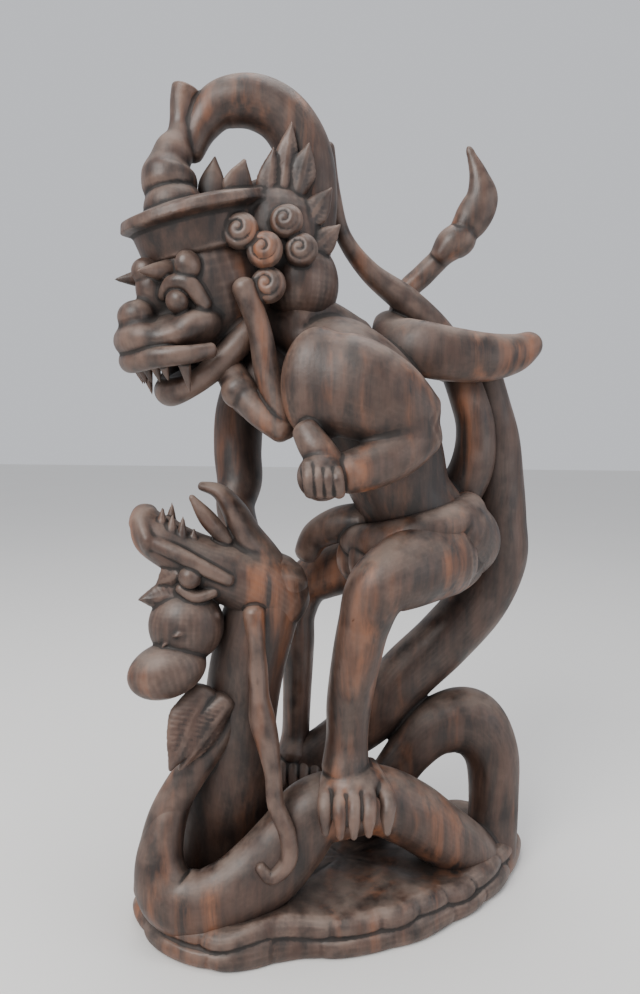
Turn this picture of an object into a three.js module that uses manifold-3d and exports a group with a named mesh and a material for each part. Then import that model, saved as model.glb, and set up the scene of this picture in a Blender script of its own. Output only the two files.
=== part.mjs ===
// Carved wooden figure of a monkey warrior stooping over a crowned serpent, one piece with its rocky base.
// Millimetres, +Z up. The origin is the middle of the underside; the carved front faces -Y.
import * as THREE from "three";
import Module from "manifold-3d";

const wasm = await Module();
wasm.setup();

// Driving sizes
const HEIGHT = 604;
const BASE_THICK = 27;
const BASE_LOBES = 11;
const HEAD_HALF_WIDTH = 44;
const TOE_RADIUS = 5.2;
const LOCK_COUNT = 6;
const FACET_TOLERANCE = 1.5;
const WOOD_COLOUR = "#3a2820";

// Directions
const RIGHT = new THREE.Vector3(1, 0, 0);
const DEPTH = new THREE.Vector3(0, 1, 0);
const UP = new THREE.Vector3(0, 0, 1);

const vec = (p) => new THREE.Vector3(p[0], p[1], p[2]);

// A closed solid from points and triangles, turned so that its faces point outwards.
function solid(points, faces) {
  const build = (list) =>
    new wasm.Manifold(
      new wasm.Mesh({
        numProp: 3,
        vertProperties: new Float32Array(points.flatMap((p) => [p.x, p.y, p.z])),
        triVerts: new Uint32Array(list.flat()),
      }),
    );
  const made = build(faces);
  return made.volume() > 0 ? made : build(faces.map(([a, b, c]) => [a, c, b]));
}

// A closed skin over rings of equal count, closed by a fan to one point at each end.
function loft(rings, first, last) {
  const count = rings[0].length;
  const points = [...rings.flat(), first, last];
  const faces = [];
  for (let r = 0; r + 1 < rings.length; r++) {
    for (let i = 0; i < count; i++) {
      const j = (i + 1) % count;
      const a = r * count + i;
      const b = r * count + j;
      faces.push([a, b, b + count], [a, b + count, a + count]);
    }
  }
  const lastRing = (rings.length - 1) * count;
  for (let i = 0; i < count; i++) {
    const j = (i + 1) % count;
    faces.push([points.length - 2, j, i]);
    faces.push([points.length - 1, lastRing + i, lastRing + j]);
  }
  return solid(points, faces);
}

// A point of a smooth curve through the stations; each station is a place followed by radii.
function along(stations, t) {
  const span = Math.min(Math.floor(t), stations.length - 2);
  const u = t - span;
  const pick = (k) => stations[Math.min(Math.max(k, 0), stations.length - 1)];
  const [p0, p1, p2, p3] = [pick(span - 1), pick(span), pick(span + 1), pick(span + 2)];
  return p1.map((value, i) => {
    const out = (p2[i] - p0[i]) / 2;
    const into = (p3[i] - value) / 2;
    const change = p2[i] - value;
    return value + u * (out + u * (3 * change - 2 * out - into + u * (out + into - 2 * change)));
  });
}

// A rounded limb along stations [x, y, z, across, deep]: `across` is its half width in the plane square
// to `side`, and `deep` its half width along `side`.
function limb(stations, { side = DEPTH, sides = 8, steps = 1, start = 0.8, end = 0.8 } = {}) {
  const total = stations.length - 1;
  const samples = [];
  for (let i = 0; i <= total * steps; i++) samples.push(along(stations, i / steps));
  const centres = samples.map(vec);
  const tangents = centres.map((_, i) =>
    centres[Math.min(i + 1, centres.length - 1)].clone().sub(centres[Math.max(i - 1, 0)]).normalize(),
  );
  const ring = (centre, tangent, across, deep) => {
    const b = side.clone().addScaledVector(tangent, -side.dot(tangent)).normalize();
    const a = new THREE.Vector3().crossVectors(b, tangent);
    return Array.from({ length: sides }, (_, k) => {
      const turn = (2 * Math.PI * (k + 0.5)) / sides;
      return centre
        .clone()
        .addScaledVector(a, across * Math.cos(turn))
        .addScaledVector(b, deep * Math.sin(turn));
    });
  };
  const rings = samples.map((s, i) => ring(centres[i], tangents[i], s[3], s[4] ?? s[3]));
  const cap = (i, sign, reach) => {
    const size = Math.min(samples[i][3], samples[i][4] ?? samples[i][3]) * reach;
    const mid = centres[i].clone().addScaledVector(tangents[i], sign * size * 0.6);
    const tip = centres[i].clone().addScaledVector(tangents[i], sign * size);
    return [ring(mid, tangents[i], samples[i][3] * 0.68, (samples[i][4] ?? samples[i][3]) * 0.68), tip];
  };
  const lastSample = samples.length - 1;
  const [startRing, startTip] = cap(0, -1, start);
  const [endRing, endTip] = cap(lastSample, 1, end);
  return loft([startRing, ...rings, endRing], startTip, endTip);
}

// An ellipsoid at a centre; its radii lie along RIGHT, DEPTH and UP unless three axes are given.
function blob(centre, radii, { axes = [RIGHT, DEPTH, UP], around = 8, rows = 5 } = {}) {
  const place = (x, y, z) =>
    vec(centre).addScaledVector(axes[0], x).addScaledVector(axes[1], y).addScaledVector(axes[2], z);
  const rings = [];
  for (let r = 1; r < rows; r++) {
    const rise = (Math.PI * r) / rows;
    rings.push(
      Array.from({ length: around }, (_, k) => {
        const turn = (2 * Math.PI * k) / around;
        return place(
          radii[0] * Math.sin(rise) * Math.cos(turn),
          radii[1] * Math.sin(rise) * Math.sin(turn),
          -radii[2] * Math.cos(rise),
        );
      }),
    );
  }
  return loft(rings, place(0, 0, -radii[2]), place(0, 0, radii[2]));
}

// A pointed cone.
function spike(foot, tip, radius, sides = 5) {
  const axis = vec(tip).sub(vec(foot)).normalize();
  const b = (Math.abs(axis.y) > 0.8 ? RIGHT : DEPTH).clone();
  b.addScaledVector(axis, -b.dot(axis)).normalize();
  const a = new THREE.Vector3().crossVectors(b, axis);
  const ring = (size, at) =>
    Array.from({ length: sides }, (_, k) => {
      const turn = (2 * Math.PI * k) / sides;
      return vec(at).addScaledVector(a, size * Math.cos(turn)).addScaledVector(b, size * Math.sin(turn));
    });
  return loft([ring(radius, foot)], vec(foot).addScaledVector(axis, -radius * 0.5), vec(tip));
}

// A leaf-shaped plate from foot to tip, widest at `belly` of its length, with its flat side facing `face`.
function leaf(foot, tip, halfWidth, halfThick, face, belly = 0.4) {
  const start = vec(foot);
  const axis = vec(tip).sub(start);
  const normal = vec(face).addScaledVector(axis, -vec(face).dot(axis) / axis.lengthSq()).normalize();
  const across = new THREE.Vector3().crossVectors(normal, axis).normalize();
  const rings = [0.08, belly, 0.5 + belly / 2].map((s) => {
    const narrowing = 0.45 * (Math.max(s - belly, 0) / (1 - belly)) ** 0.8;
    const wide = halfWidth * (s <= belly ? 0.55 + (0.45 * s) / belly : 1 - narrowing);
    return Array.from({ length: 6 }, (_, k) => {
      const turn = (Math.PI * k) / 3;
      return start
        .clone()
        .addScaledVector(axis, s)
        .addScaledVector(across, wide * Math.cos(turn))
        .addScaledVector(normal, halfThick * Math.sin(turn));
    });
  });
  return loft(rings, start, vec(tip));
}

// Rocky base: an outline that bulges in lobes, rounded over at the rim
function base() {
  const outline = [
    [-156, -22], [-148, -49], [-134, -69], [-110, -85], [-86, -92], [-63, -89], [-32, -79], [-8, -79],
    [24, -72], [53, -61], [77, -45], [103, -26], [129, 1], [146, 29], [156, 60], [146, 82],
    [118, 92], [78, 91], [30, 86], [-20, 86], [-68, 76], [-112, 56], [-142, 20],
  ];
  const perSpan = 2;
  const looped = [...outline, outline[0]];
  const points = [];
  for (let i = 0; i < outline.length * perSpan; i++) points.push(along(looped, i / perSpan));
  const layers = [
    [0, 0.965, 0], [7, 1, 0.008], [16, 0.97, -0.012], [20, 0.965, 0.01], [BASE_THICK, 0.9, 0.008],
  ];
  const rings = layers.map(([z, scale, wave]) =>
    points.map(([x, y], i) => {
      const size = scale + wave * Math.cos((2 * Math.PI * i * BASE_LOBES) / points.length);
      return new THREE.Vector3(x * size, y * size, z);
    }),
  );
  return loft(rings, new THREE.Vector3(0, 0, 0), new THREE.Vector3(0, 5, BASE_THICK - 3));
}

// Serpent: neck, front band and arch, right loop, rising body, wrap and tail tip
const NECK = [
  [-52, -26, 252, 25, 24], [-62, -28, 225, 27, 26], [-71, -27, 190, 27, 27], [-77, -25, 150, 27, 26],
  [-82, -20, 110, 30, 24], [-90, -12, 70, 36, 24], [-94, -4, 30, 42, 24], [-94, 0, 10, 44, 24],
];
const BAND = [
  [-92, -38, 138, 10, 11], [-112, -42, 112, 11, 12], [-124, -50, 86, 13, 14], [-129, -58, 58, 17, 16],
  [-121, -64, 38, 22, 17], [-99, -66, 31, 25, 17], [-76, -62, 38, 26, 17], [-55, -54, 51, 27, 18],
  [-38, -47, 68, 26, 19], [-23, -41, 85, 25, 21], [-1, -34, 89, 25, 22], [23, -26, 88, 25, 22],
  [50, -16, 72, 25, 22], [74, -4, 50, 24, 22], [98, 12, 26, 23, 22], [112, 22, 12, 20, 20],
];
const LOOP = [
  [124, 34, 8, 21, 20], [128, 44, 52, 20.5, 20], [125, 48, 92, 23, 21], [106, 48, 117, 28, 22],
  [78, 46, 113, 24, 20], [56, 43, 92, 19, 18], [38, 40, 66, 18, 17], [20, 40, 34, 18, 17],
  [12, 40, 12, 18, 17],
];
const RISE = [
  [-86, 52, 14, 20, 19], [-70, 57, 40, 20, 19], [-43, 58, 66, 20, 19], [-9, 58, 90, 20, 20],
  [26, 58, 118, 23, 22],
  [53, 58, 152, 24, 23], [84, 56, 184, 24, 23], [112, 54, 219, 24, 23], [127, 52, 255, 23, 22],
  [126, 50, 287, 22, 21], [123, 48, 320, 21, 20], [121, 46, 352, 18, 18], [115, 44, 380, 15, 15],
  [110, 42, 400, 13, 13],
];
const WRAP = [
  [34, 38, 444, 13, 8], [35, 18, 432, 17, 9], [47, 5, 421, 20, 10], [70, 1, 415, 20, 11],
  [100, 5, 413, 18, 12], [124, 18, 417, 15, 13], [138, 28, 424, 11, 14],
];
const STEM = [
  [110, 44, 398, 12, 12], [72, 56, 414, 12, 12], [46, 60, 436, 11, 11], [46, 60, 466, 9, 9],
  [62, 61, 484, 9, 9], [80, 59, 502, 8.5, 8.5], [90, 56, 514, 9, 9],
];
const FLAME = [
  [86, 57, 510, 9, 8], [97, 54, 524, 14, 10], [104, 51, 540, 13, 9], [101, 50, 557, 7.5, 6],
  [95, 50, 572, 3.6, 3],
];

function serpentBody() {
  const knot = [[74, 59, 497, 9, 12], [82, 58, 506, 13, 14], [90, 57, 511, 13, 13], [95, 56, 517, 9, 10]];
  return [
    limb(NECK, { sides: 10 }),
    limb(BAND, { sides: 10 }),
    limb(LOOP, { sides: 10, steps: 2 }),
    limb(RISE, { sides: 10 }),
    limb(WRAP, { steps: 2, end: 0.5 }),
    limb(STEM, { sides: 7, steps: 2 }),
    limb(knot),
    limb(FLAME, { steps: 2, end: 2.6 }),
  ];
}

// Serpent head, thrown back with its jaws open to the sky
function serpentHead() {
  const skull = [
    [-46, -26, 236, 22, 22], [-64, -32, 250, 25, 25], [-84, -37, 259, 22, 24], [-104, -40, 268, 18, 22],
    [-121, -41, 277, 16.5, 21], [-134, -40, 286, 16, 19], [-141, -39, 295, 11, 16],
  ];
  const lowerJaw = [
    [-50, -27, 246, 17, 20], [-62, -29, 268, 14, 19], [-72, -31, 285, 11, 17], [-80, -33, 302, 8.5, 14],
    [-90, -35, 315, 5.5, 10], [-102, -37, 319, 3.2, 6],
  ];
  const innerJaw = [[-84, -42, 282, 5, 6], [-96, -46, 297, 6, 7], [-106, -48, 311, 2.5, 3]];
  const noseRoll = [
    [-134, -56, 281, 9, 6], [-140, -48, 291, 10, 7], [-143, -38, 296, 10, 8], [-141, -26, 296, 9, 7],
  ];
  const lip = [[-132, -57, 283, 5, 5], [-114, -62, 276, 5, 5], [-96, -62, 266, 5, 4], [-80, -60, 258, 4, 4]];
  const parts = [
    limb(skull, { sides: 10 }),
    limb(lowerJaw),
    limb(innerJaw, { sides: 6, end: 1.4 }),
    limb(noseRoll, { side: RIGHT }),
    limb(lip, { sides: 6 }),
  ];
  const teeth = [[-127, -50, 299], [-120, -52, 297], [-113, -52, 293], [-106, -50, 288], [-124, -34, 300]];
  teeth.forEach(([x, y, z], i) => parts.push(spike([x, y, z - 8], [x + 1, y, z + 7 - (i % 2) * 3], 4.2)));
  parts.push(blob([-106, -60, 260], [8, 8, 8]));
  parts.push(limb([[-113, -56, 252, 4, 7], [-103, -56, 246, 5, 8], [-91, -54, 249, 4, 7]], { sides: 6 }));
  const crest = [
    [[-114, -54, 262], [-130, -52, 254], 9, 8], [[-106, -50, 246], [-142, -54, 243], 13, 9],
    [[-104, -50, 236], [-124, -66, 214], 11, 8], [[-92, -50, 232], [-116, -70, 222], 10, 8],
  ];
  crest.forEach(([foot, tip, wide, thick]) => parts.push(leaf(foot, tip, wide, thick, [0.2, -1, 0])));
  parts.push(blob([-111, -48, 224], [26, 22, 26]));
  const budAxis = new THREE.Vector3(-0.93, -0.25, -0.27).normalize();
  const budUp = UP.clone().addScaledVector(budAxis, -UP.dot(budAxis)).normalize();
  const budSide = new THREE.Vector3().crossVectors(budUp, budAxis);
  parts.push(blob([-122, -60, 196], [27, 19, 19], { axes: [budAxis, budSide, budUp], around: 9, rows: 6 }));
  const curls = [[-104, -64, 208], [-98, -62, 190], [-92, -58, 176], [-84, -56, 202], [-82, -54, 182]];
  curls.forEach((at) => parts.push(blob(at, [8, 9, 8], { around: 6, rows: 4 })));
  parts.push(leaf([-98, -50, 178], [-119, -70, 130], 17, 8, [0.5, -1, 0.45], 0.35));
  parts.push(leaf([-84, -50, 172], [-114, -64, 128], 14, 8, [0.9, -1, 0.3], 0.4));
  const mane = [
    [-78, -40, 164, 8, 10], [-92, -44, 142, 11, 11], [-110, -47, 116, 12, 11], [-126, -51, 88, 12, 11],
    [-136, -54, 58, 10, 11], [-140, -52, 34, 9, 10],
  ];
  parts.push(limb(mane));
  const ribbon = [
    [-64, -54, 234, 8, 8], [-62, -58, 214, 6, 7], [-61, -58, 196, 7, 8], [-60, -58, 178, 7, 8],
    [-58, -58, 162, 9, 9],
    [-54, -60, 146, 8, 8], [-50, -62, 124, 6, 6], [-48, -64, 104, 6, 6], [-40, -66, 84, 6, 6],
    [-39, -68, 66, 6, 6],
    [-50, -70, 55, 5, 5], [-58, -70, 62, 4, 4],
  ];
  parts.push(limb(ribbon, { sides: 6 }));
  return parts;
}

// Monkey body: torso, arms, legs, loincloth and tail
const TORSO = [
  [76, 14, 262, 34, 42], [58, 11, 288, 36, 43], [43, 8, 310, 36, 42], [30, 5, 342, 41, 46],
  [12, 3, 376, 46, 50], [-12, 2, 406, 38, 50], [-36, 2, 424, 22, 32], [-60, 1, 436, 18, 22],
];
const NEAR_ARM = [
  [-24, -44, 392, 29, 20], [-4, -54, 388, 34, 20], [22, -56, 378, 30, 19], [44, -48, 366, 22, 17],
];
const NEAR_FOREARM = [
  [46, -46, 358, 18, 17], [32, -54, 346, 18, 17], [14, -62, 336, 16, 15], [-2, -68, 331, 14, 14],
];
const FAR_ARM = [
  [-72, 46, 404, 22, 20], [-84, 47, 372, 20, 20], [-86, 43, 342, 19, 19], [-84, 38, 318, 18, 18],
  [-86, 28, 297, 15, 16], [-78, 12, 274, 14, 15],
];
const NEAR_LEG = [
  [70, -18, 270, 31, 26], [44, -40, 264, 28, 25], [20, -55, 252, 22, 21], [11, -54, 228, 18, 18],
  [6, -49, 200, 17, 17], [2, -43, 168, 16, 16], [1, -40, 142, 15, 16], [0, -42, 120, 17, 20],
];
const FAR_LEG = [
  [52, 42, 264, 26, 24], [12, 56, 250, 24, 22], [-26, 64, 232, 20, 20], [-37, 64, 206, 15, 16],
  [-37, 63, 176, 13.5, 15], [-38, 64, 128, 12, 14], [-39, 64, 98, 12, 16], [-41, 58, 82, 14, 20],
];
const TAIL = [
  [84, 34, 300, 18, 16], [98, 30, 330, 17, 16], [100, 28, 360, 15, 15], [92, 28, 388, 14, 14],
  [80, 30, 416, 13, 12], [66, 31, 437, 12, 11], [43, 30, 458, 11, 10], [16, 28, 478, 8, 8],
  [-4, 22, 502, 6, 7], [-13, 14, 530, 6, 7], [-18, 6, 560, 6, 7],
];

function monkeyBody() {
  const parts = [
    limb(TORSO, { sides: 12, steps: 2 }),
    limb(NEAR_ARM, { sides: 10, steps: 2 }),
    limb(NEAR_FOREARM, { sides: 10 }),
    limb(FAR_ARM, { sides: 9 }),
    limb(NEAR_LEG, { sides: 10 }),
    limb(FAR_LEG),
    limb(TAIL, { sides: 7 }),
    blob([-22, -52, 388], [25, 17, 38], { around: 10, rows: 6 }),
    blob([-19, -74, 329], [16, 14, 16]),
    limb([[-30, -66, 358, 9, 8], [-22, -70, 346, 11, 9], [-12, -72, 336, 9, 8]], { sides: 6 }),
    limb([[-44, -14, 432, 13, 20], [-22, 8, 440, 14, 24], [4, 26, 432, 12, 22]], { sides: 8 }),
  ];
  // Fingers of both hands
  for (let i = 0; i < 4; i++) {
    const x = -28 + i * 6;
    const nearFinger = [[x, -82, 336 - i, 4, 4], [x + 1, -88, 328, 4, 4], [x + 2, -83, 319, 4, 4]];
    parts.push(limb(nearFinger, { sides: 5, side: RIGHT }));
    const z = 284 - i * 8;
    const farFinger = [[-84, 14, z, 4, 4], [-74, 2, z - 4, 4, 4], [-62, -2, z - 6, 4, 4]];
    parts.push(limb(farFinger, { sides: 5, side: UP }));
  }
  // Bands round the arms
  const ringAt = (a, b, size) =>
    limb([[...a, size, size * 0.72], [...b, size, size * 0.72]], { sides: 10, start: 0.1, end: 0.1 });
  parts.push(ringAt([16, -55, 380], [21, -54.5, 378], 34));
  parts.push(limb([[8, -64, 334.5, 17, 16.5],
  [2, -66, 332.5, 16.5, 16]], { sides: 10, start: 0.1, end: 0.1 }));
  parts.push(limb([[-80, 47, 386, 22, 22], [-82, 47, 379, 22, 22]], { sides: 10, start: 0.1, end: 0.1 }));
  return parts;
}

// Feet with hooked claws
function feet() {
  const parts = [];
  const knuckles = [[-14, -62, 108], [-4, -66, 108], [5, -67, 109], [15, -66, 110], [28, -60, 108]];
  knuckles.forEach(([x, y, z]) => {
    const toe = [
      [x * 0.6, y + 24, z + 10, 7, 7],
      [x, y, z, TOE_RADIUS + 0.2, TOE_RADIUS + 0.4],
      [x, y - 7, z - 10, TOE_RADIUS, TOE_RADIUS - 0.2],
      [x, y - 8, z - 19, 3, 3],
    ];
    parts.push(limb(toe, { sides: 6, side: RIGHT, end: 1.6 }));
  });
  parts.push(blob([4, -48, 112], [22, 20, 14]));
  for (let i = 0; i < 5; i++) {
    const x = -58 + i * 9;
    const toe = [[x * 0.8 - 6, 58, 82, 7, 7], [x, 42, 78, 5.5, 5.5], [x, 34, 68, 3.5, 3.5]];
    parts.push(limb(toe, { sides: 5, side: RIGHT }));
  }
  return parts;
}

// Loincloth: a rolled sash round the hips in overlapping scallops, and one hanging end
function loincloth() {
  const parts = [];
  const around = 10;
  const hips = Array.from({ length: around + 1 }, (_, i) => {
    const turn = (2 * Math.PI * i) / around;
    return { x: 50 + 42 * Math.cos(turn), y: 11 + 45 * Math.sin(turn), z: 288 + 12 * Math.cos(turn) };
  });
  parts.push(limb(hips.map(({ x, y, z }) => [x, y, z, 13, 13]), { side: UP, sides: 7 }));
  hips.slice(0, around).forEach(({ x, y, z }) => {
    parts.push(blob([x, y, z - 14], [15, 12, 20], { around: 7, rows: 4 }));
  });
  const rump = [[80, -14, 288, 24, 24], [90, 10, 276, 27, 28], [86, 30, 260, 24, 24]];
  parts.push(limb(rump, { sides: 9 }));
  const frontFold = [
    [-30, 30, 262, 10, 12], [-22, 28, 276, 12, 14], [-4, 20, 286, 14, 18], [16, 12, 290, 14, 20],
  ];
  parts.push(limb(frontFold));
  const sash = [
    [52, -52, 300, 9, 6], [54, -62, 280, 11, 6], [58, -62, 240, 11, 5.5], [61, -60, 200, 10, 5],
    [65, -55, 164, 5, 4],
  ];
  parts.push(limb(sash, { sides: 6 }));
  return parts;
}

// Head frame: forward along the face, outward to the near cheek, and upward through the crown
const HEAD_CENTRE = [-92, -2, 455];
const FORWARD = new THREE.Vector3(-0.75, -0.585, -0.31).normalize();
const OUTWARD = new THREE.Vector3(0.616, -0.788, 0).normalize();
const CROWNWARD = new THREE.Vector3().crossVectors(FORWARD, OUTWARD).normalize();
const HEAD_AXES = [FORWARD, OUTWARD, CROWNWARD];
const inHead = (a, b, c) =>
  vec(HEAD_CENTRE)
    .addScaledVector(FORWARD, a)
    .addScaledVector(OUTWARD, b)
    .addScaledVector(CROWNWARD, c)
    .toArray();
const headLimb = (stations, options) =>
  limb(stations.map(([a, b, c, ...radii]) => [...inHead(a, b, c), ...radii]), options);
const both = (make) => [make(1), make(-1)];

function face() {
  const parts = [
    blob(inHead(6, 0, 6), [48, HEAD_HALF_WIDTH, 46], { axes: HEAD_AXES, around: 12, rows: 8 }),
    blob(inHead(44, 0, -18), [40, 38, 15], { axes: HEAD_AXES, around: 12, rows: 6 }),
    blob(inHead(75, 0, -15), [13, 22, 12], { axes: HEAD_AXES }),
    blob(inHead(70, 0, 0), [12, 13, 10], { axes: HEAD_AXES }),
    blob(inHead(50, 0, 12), [14, 12, 18], { axes: HEAD_AXES }),
  ];
  // Upper lip with its hatched edge
  const lip = [[44, 41, -33, 4, 5], [58, 37, -32, 5, 6], [74, 24, -29, 6, 7], [82, 0, -28, 6, 8]];
  const mirrored = lip.slice(0, -1).map(([a, b, ...rest]) => [a, -b, ...rest]);
  parts.push(headLimb([...lip, ...mirrored.reverse()], { sides: 6, side: CROWNWARD }));
  // Lower jaw, swung down
  const jaw = [[8, 34, -28, 12, 10], [32, 30, -42, 10, 9], [52, 20, -52, 9, 8], [62, 0, -55, 9, 10]];
  const otherJaw = jaw.slice(0, -1).map(([a, b, ...rest]) => [a, -b, ...rest]);
  parts.push(headLimb([...jaw, ...otherJaw.reverse()], { sides: 8, side: CROWNWARD }));
  parts.push(blob(inHead(34, 0, -50), [28, 24, 8], { axes: HEAD_AXES }));
  parts.push(blob(inHead(8, 0, -24), [32, 34, 24], { axes: HEAD_AXES, around: 10 }));
  // Teeth: a row in front and a pair of fangs
  for (let i = 0; i < 6; i++) {
    const b = (i - 2.5) * 8;
    const a = 76 - Math.abs(b) * 0.28;
    parts.push(spike(inHead(a, b, -30), inHead(a, b, -46), 4.6, 4));
  }
  both((s) => parts.push(spike(inHead(60, 30 * s, -30), inHead(62, 29 * s, -56), 5.5)));
  // Eyes, beaded brows and cheeks
  both((s) => parts.push(blob(inHead(50, 24 * s, 2), [7, 9, 8], { axes: HEAD_AXES, around: 7, rows: 4 })));
  both((s) =>
    parts.push(
      headLimb(
        [[52, 12 * s, 8, 4, 4], [49, 22 * s, 14, 5, 5], [42, 31 * s, 11, 6, 6], [36, 34 * s, -4, 5, 5]],
        { sides: 5, side: CROWNWARD },
      ),
    ),
  );
  both((s) => parts.push(blob(inHead(42, 28 * s, -14), [17, 12, 9], { axes: HEAD_AXES, around: 7, rows: 4 })));
  // Diadem drops above the brow
  both((s) => parts.push(blob(inHead(38, 30 * s, 22), [9, 8, 10], { axes: HEAD_AXES, around: 7, rows: 4 })));
  parts.push(blob(inHead(54, 0, 26), [9, 10, 9], { axes: HEAD_AXES, around: 6, rows: 4 }));
  both((s) => parts.push(spike(inHead(44, 14 * s, 22), inHead(68, 18 * s, 26), 8)));
  return parts;
}

// Crown: fringe band, petalled brim, ribbed double bun, bud and plug
function crown() {
  const brimSides = 28;
  const layers = [
    [26, 38, 0.02], [30, 44, 0.02], [44, 46, 0.01], [50, 47, 0.02], [54, 54, 0.07], [60, 52, 0.07],
    [64, 34, 0],
  ];
  const rings = layers.map(([c, reach, depth]) =>
    Array.from({ length: brimSides }, (_, k) => {
      const turn = (2 * Math.PI * k) / brimSides;
      const out = reach * (k % 2 ? 1 - depth : 1);
      return vec(inHead(4 + out * Math.cos(turn), out * 0.97 * Math.sin(turn), c));
    }),
  );
  const parts = [loft(rings, vec(inHead(4, 0, 26)), vec(inHead(4, 0, 66)))];
  parts.push(leaf(inHead(-10, 30, 56), inHead(-22, 36, 80), 12, 6, OUTWARD.toArray(), 0.3));
  parts.push(leaf(inHead(-14, -30, 56), inHead(-26, -36, 78), 12, 6, OUTWARD.toArray(), 0.3));
  const bun = [
    [-120, -22, 500, 18, 18], [-122, -23, 509, 22, 21], [-124, -22, 518, 18, 18], [-125, -22, 524, 20, 19],
    [-126, -21, 532, 19, 18], [-125, -20, 540, 14, 14], [-122, -18, 549, 13, 13], [-119, -16, 558, 9.5, 9.5],
    [-118, -14, 568, 8.5, 8.5], [-117, -14, 582, 9, 9], [-115, -14, 590, 10, 10],
  ];
  parts.push(limb(bun, { sides: 10, side: RIGHT, end: 0.3 }));
  parts.push(leaf([-100, -10, 512], [-96, -8, 548], 10, 6, [0, -1, 0], 0.4));
  return parts;
}

// Hair: an arch of overlapping locks from the back of the head over to the topknot, tufts and back curls
const ARCH = [
  [-112, -12, 550, 9, 9], [-105, -11, 567, 12, 12], [-92, -9, 582, 16, 14], [-70, -6, 586, 18, 16],
  [-49, -3, 577, 19, 17], [-35, 0, 556, 20, 18], [-32, 2, 530, 22, 20], [-36, 4, 502, 25, 24],
  [-44, 5, 474, 26, 28],
];

function hair() {
  const parts = [
    limb(ARCH, { sides: 9, steps: 2 }),
    blob([-56, 0, 492], [40, 40, 44], { around: 10, rows: 7 }),
    blob([-36, -2, 462], [28, 36, 32], { around: 10, rows: 6 }),
  ];
  for (let i = 0; i < LOCK_COUNT; i++) {
    const t = 3.2 + (i * 3.6) / LOCK_COUNT;
    const [x, y, z, across, deep] = along(ARCH, t);
    const [x2, y2, z2, across2, deep2] = along(ARCH, t + 0.45);
    const lock = [[x, y, z, across, deep], [x2, y2, z2, across2 * 1.08, deep2 * 1.08]];
    parts.push(limb(lock, { sides: 8, start: 0.1, end: 0.1 }));
  }
  const tufts = [
    [[-58, -24, 508], [-54, -26, 548], 10],
    [[-48, -22, 522], [-42, -22, 566], 9],
    [[-38, -20, 520], [-30, -24, 552], 10],
    [[-34, -22, 496], [-14, -20, 524], 10],
    [[-30, -22, 478], [-8, -18, 500], 10],
  ];
  tufts.forEach(([foot, tip, wide]) => parts.push(leaf(foot, tip, wide, 7, [0.2, -1, 0])));
  // Ear scrolls, side locks and the hanging strap
  const scrolls = [
    [-74, -42, 488, 12], [-58, -42, 476, 12], [-56, -38, 454, 12], [-44, -36, 496, 11], [-34, -34, 478, 11],
  ];
  scrolls.forEach(([x, y, z, r]) => parts.push(blob([x, y, z], [r, 9, r * 1.2], { around: 6, rows: 4 })));
  const strap = [
    [-72, -46, 452, 8, 8], [-62, -44, 426, 8, 8], [-56, -44, 396, 9, 8], [-48, -46, 372, 8, 8],
    [-42, -46, 356, 5, 5],
  ];
  parts.push(limb(strap, { sides: 6 }));
  // Chest scarf with its knots
  const scarf = [
    [-88, -22, 408, 10, 12], [-78, -34, 390, 11, 12], [-64, -42, 372, 10, 11], [-46, -46, 358, 9, 10],
  ];
  parts.push(limb(scarf));
  parts.push(blob([-76, -40, 384], [12, 10, 12], { around: 6, rows: 4 }));
  parts.push(blob([-60, 6, 392], [32, 40, 30], { around: 10, rows: 6 }));
  return parts;
}

const pieces = [
  base(),
  ...serpentBody(),
  ...serpentHead(),
  ...monkeyBody(),
  ...feet(),
  ...loincloth(),
  ...face(),
  ...crown(),
  ...hair(),
];
// The largest outer skin alone, so that pockets left between the shapes inside the wood are filled.
function outerSkin(shape) {
  const skin = shape
    .decompose()
    .reduce((best, other) => (other.volume() > best.volume() ? other : best))
    .getMesh();
  return new wasm.Manifold(
    new wasm.Mesh({ numProp: 3, vertProperties: skin.vertProperties, triVerts: skin.triVerts }),
  );
}

const whole = outerSkin(wasm.Manifold.union(pieces).trimByPlane([0, 0, 1], 0));
const uncentred = outerSkin(whole.simplify(FACET_TOLERANCE));
const { min, max } = uncentred.boundingBox();
const carving = uncentred
  .translate([-(min[0] + max[0]) / 2, -(min[1] + max[1]) / 2, 0])
  .scale(HEIGHT / max[2]);

const mesh = carving.getMesh();
const geometry = new THREE.BufferGeometry();
geometry.setAttribute("position", new THREE.BufferAttribute(mesh.vertProperties, 3));
geometry.setIndex(new THREE.BufferAttribute(mesh.triVerts, 1));
geometry.computeVertexNormals();

const figure = new THREE.Mesh(
  geometry,
  new THREE.MeshStandardMaterial({ color: WOOD_COLOUR, roughness: 0.5, metalness: 0 }),
);
figure.name = "hanuman_figure";

const group = new THREE.Group();
group.add(figure);
export default group;
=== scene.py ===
"""Carved ebony monkey warrior stooping over a crowned serpent, in one piece with its rocky base.

Every shape is drawn in millimetres, joined and cut on a fine grid of distances as a carver works down
a block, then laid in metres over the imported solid.
"""

import math

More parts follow.
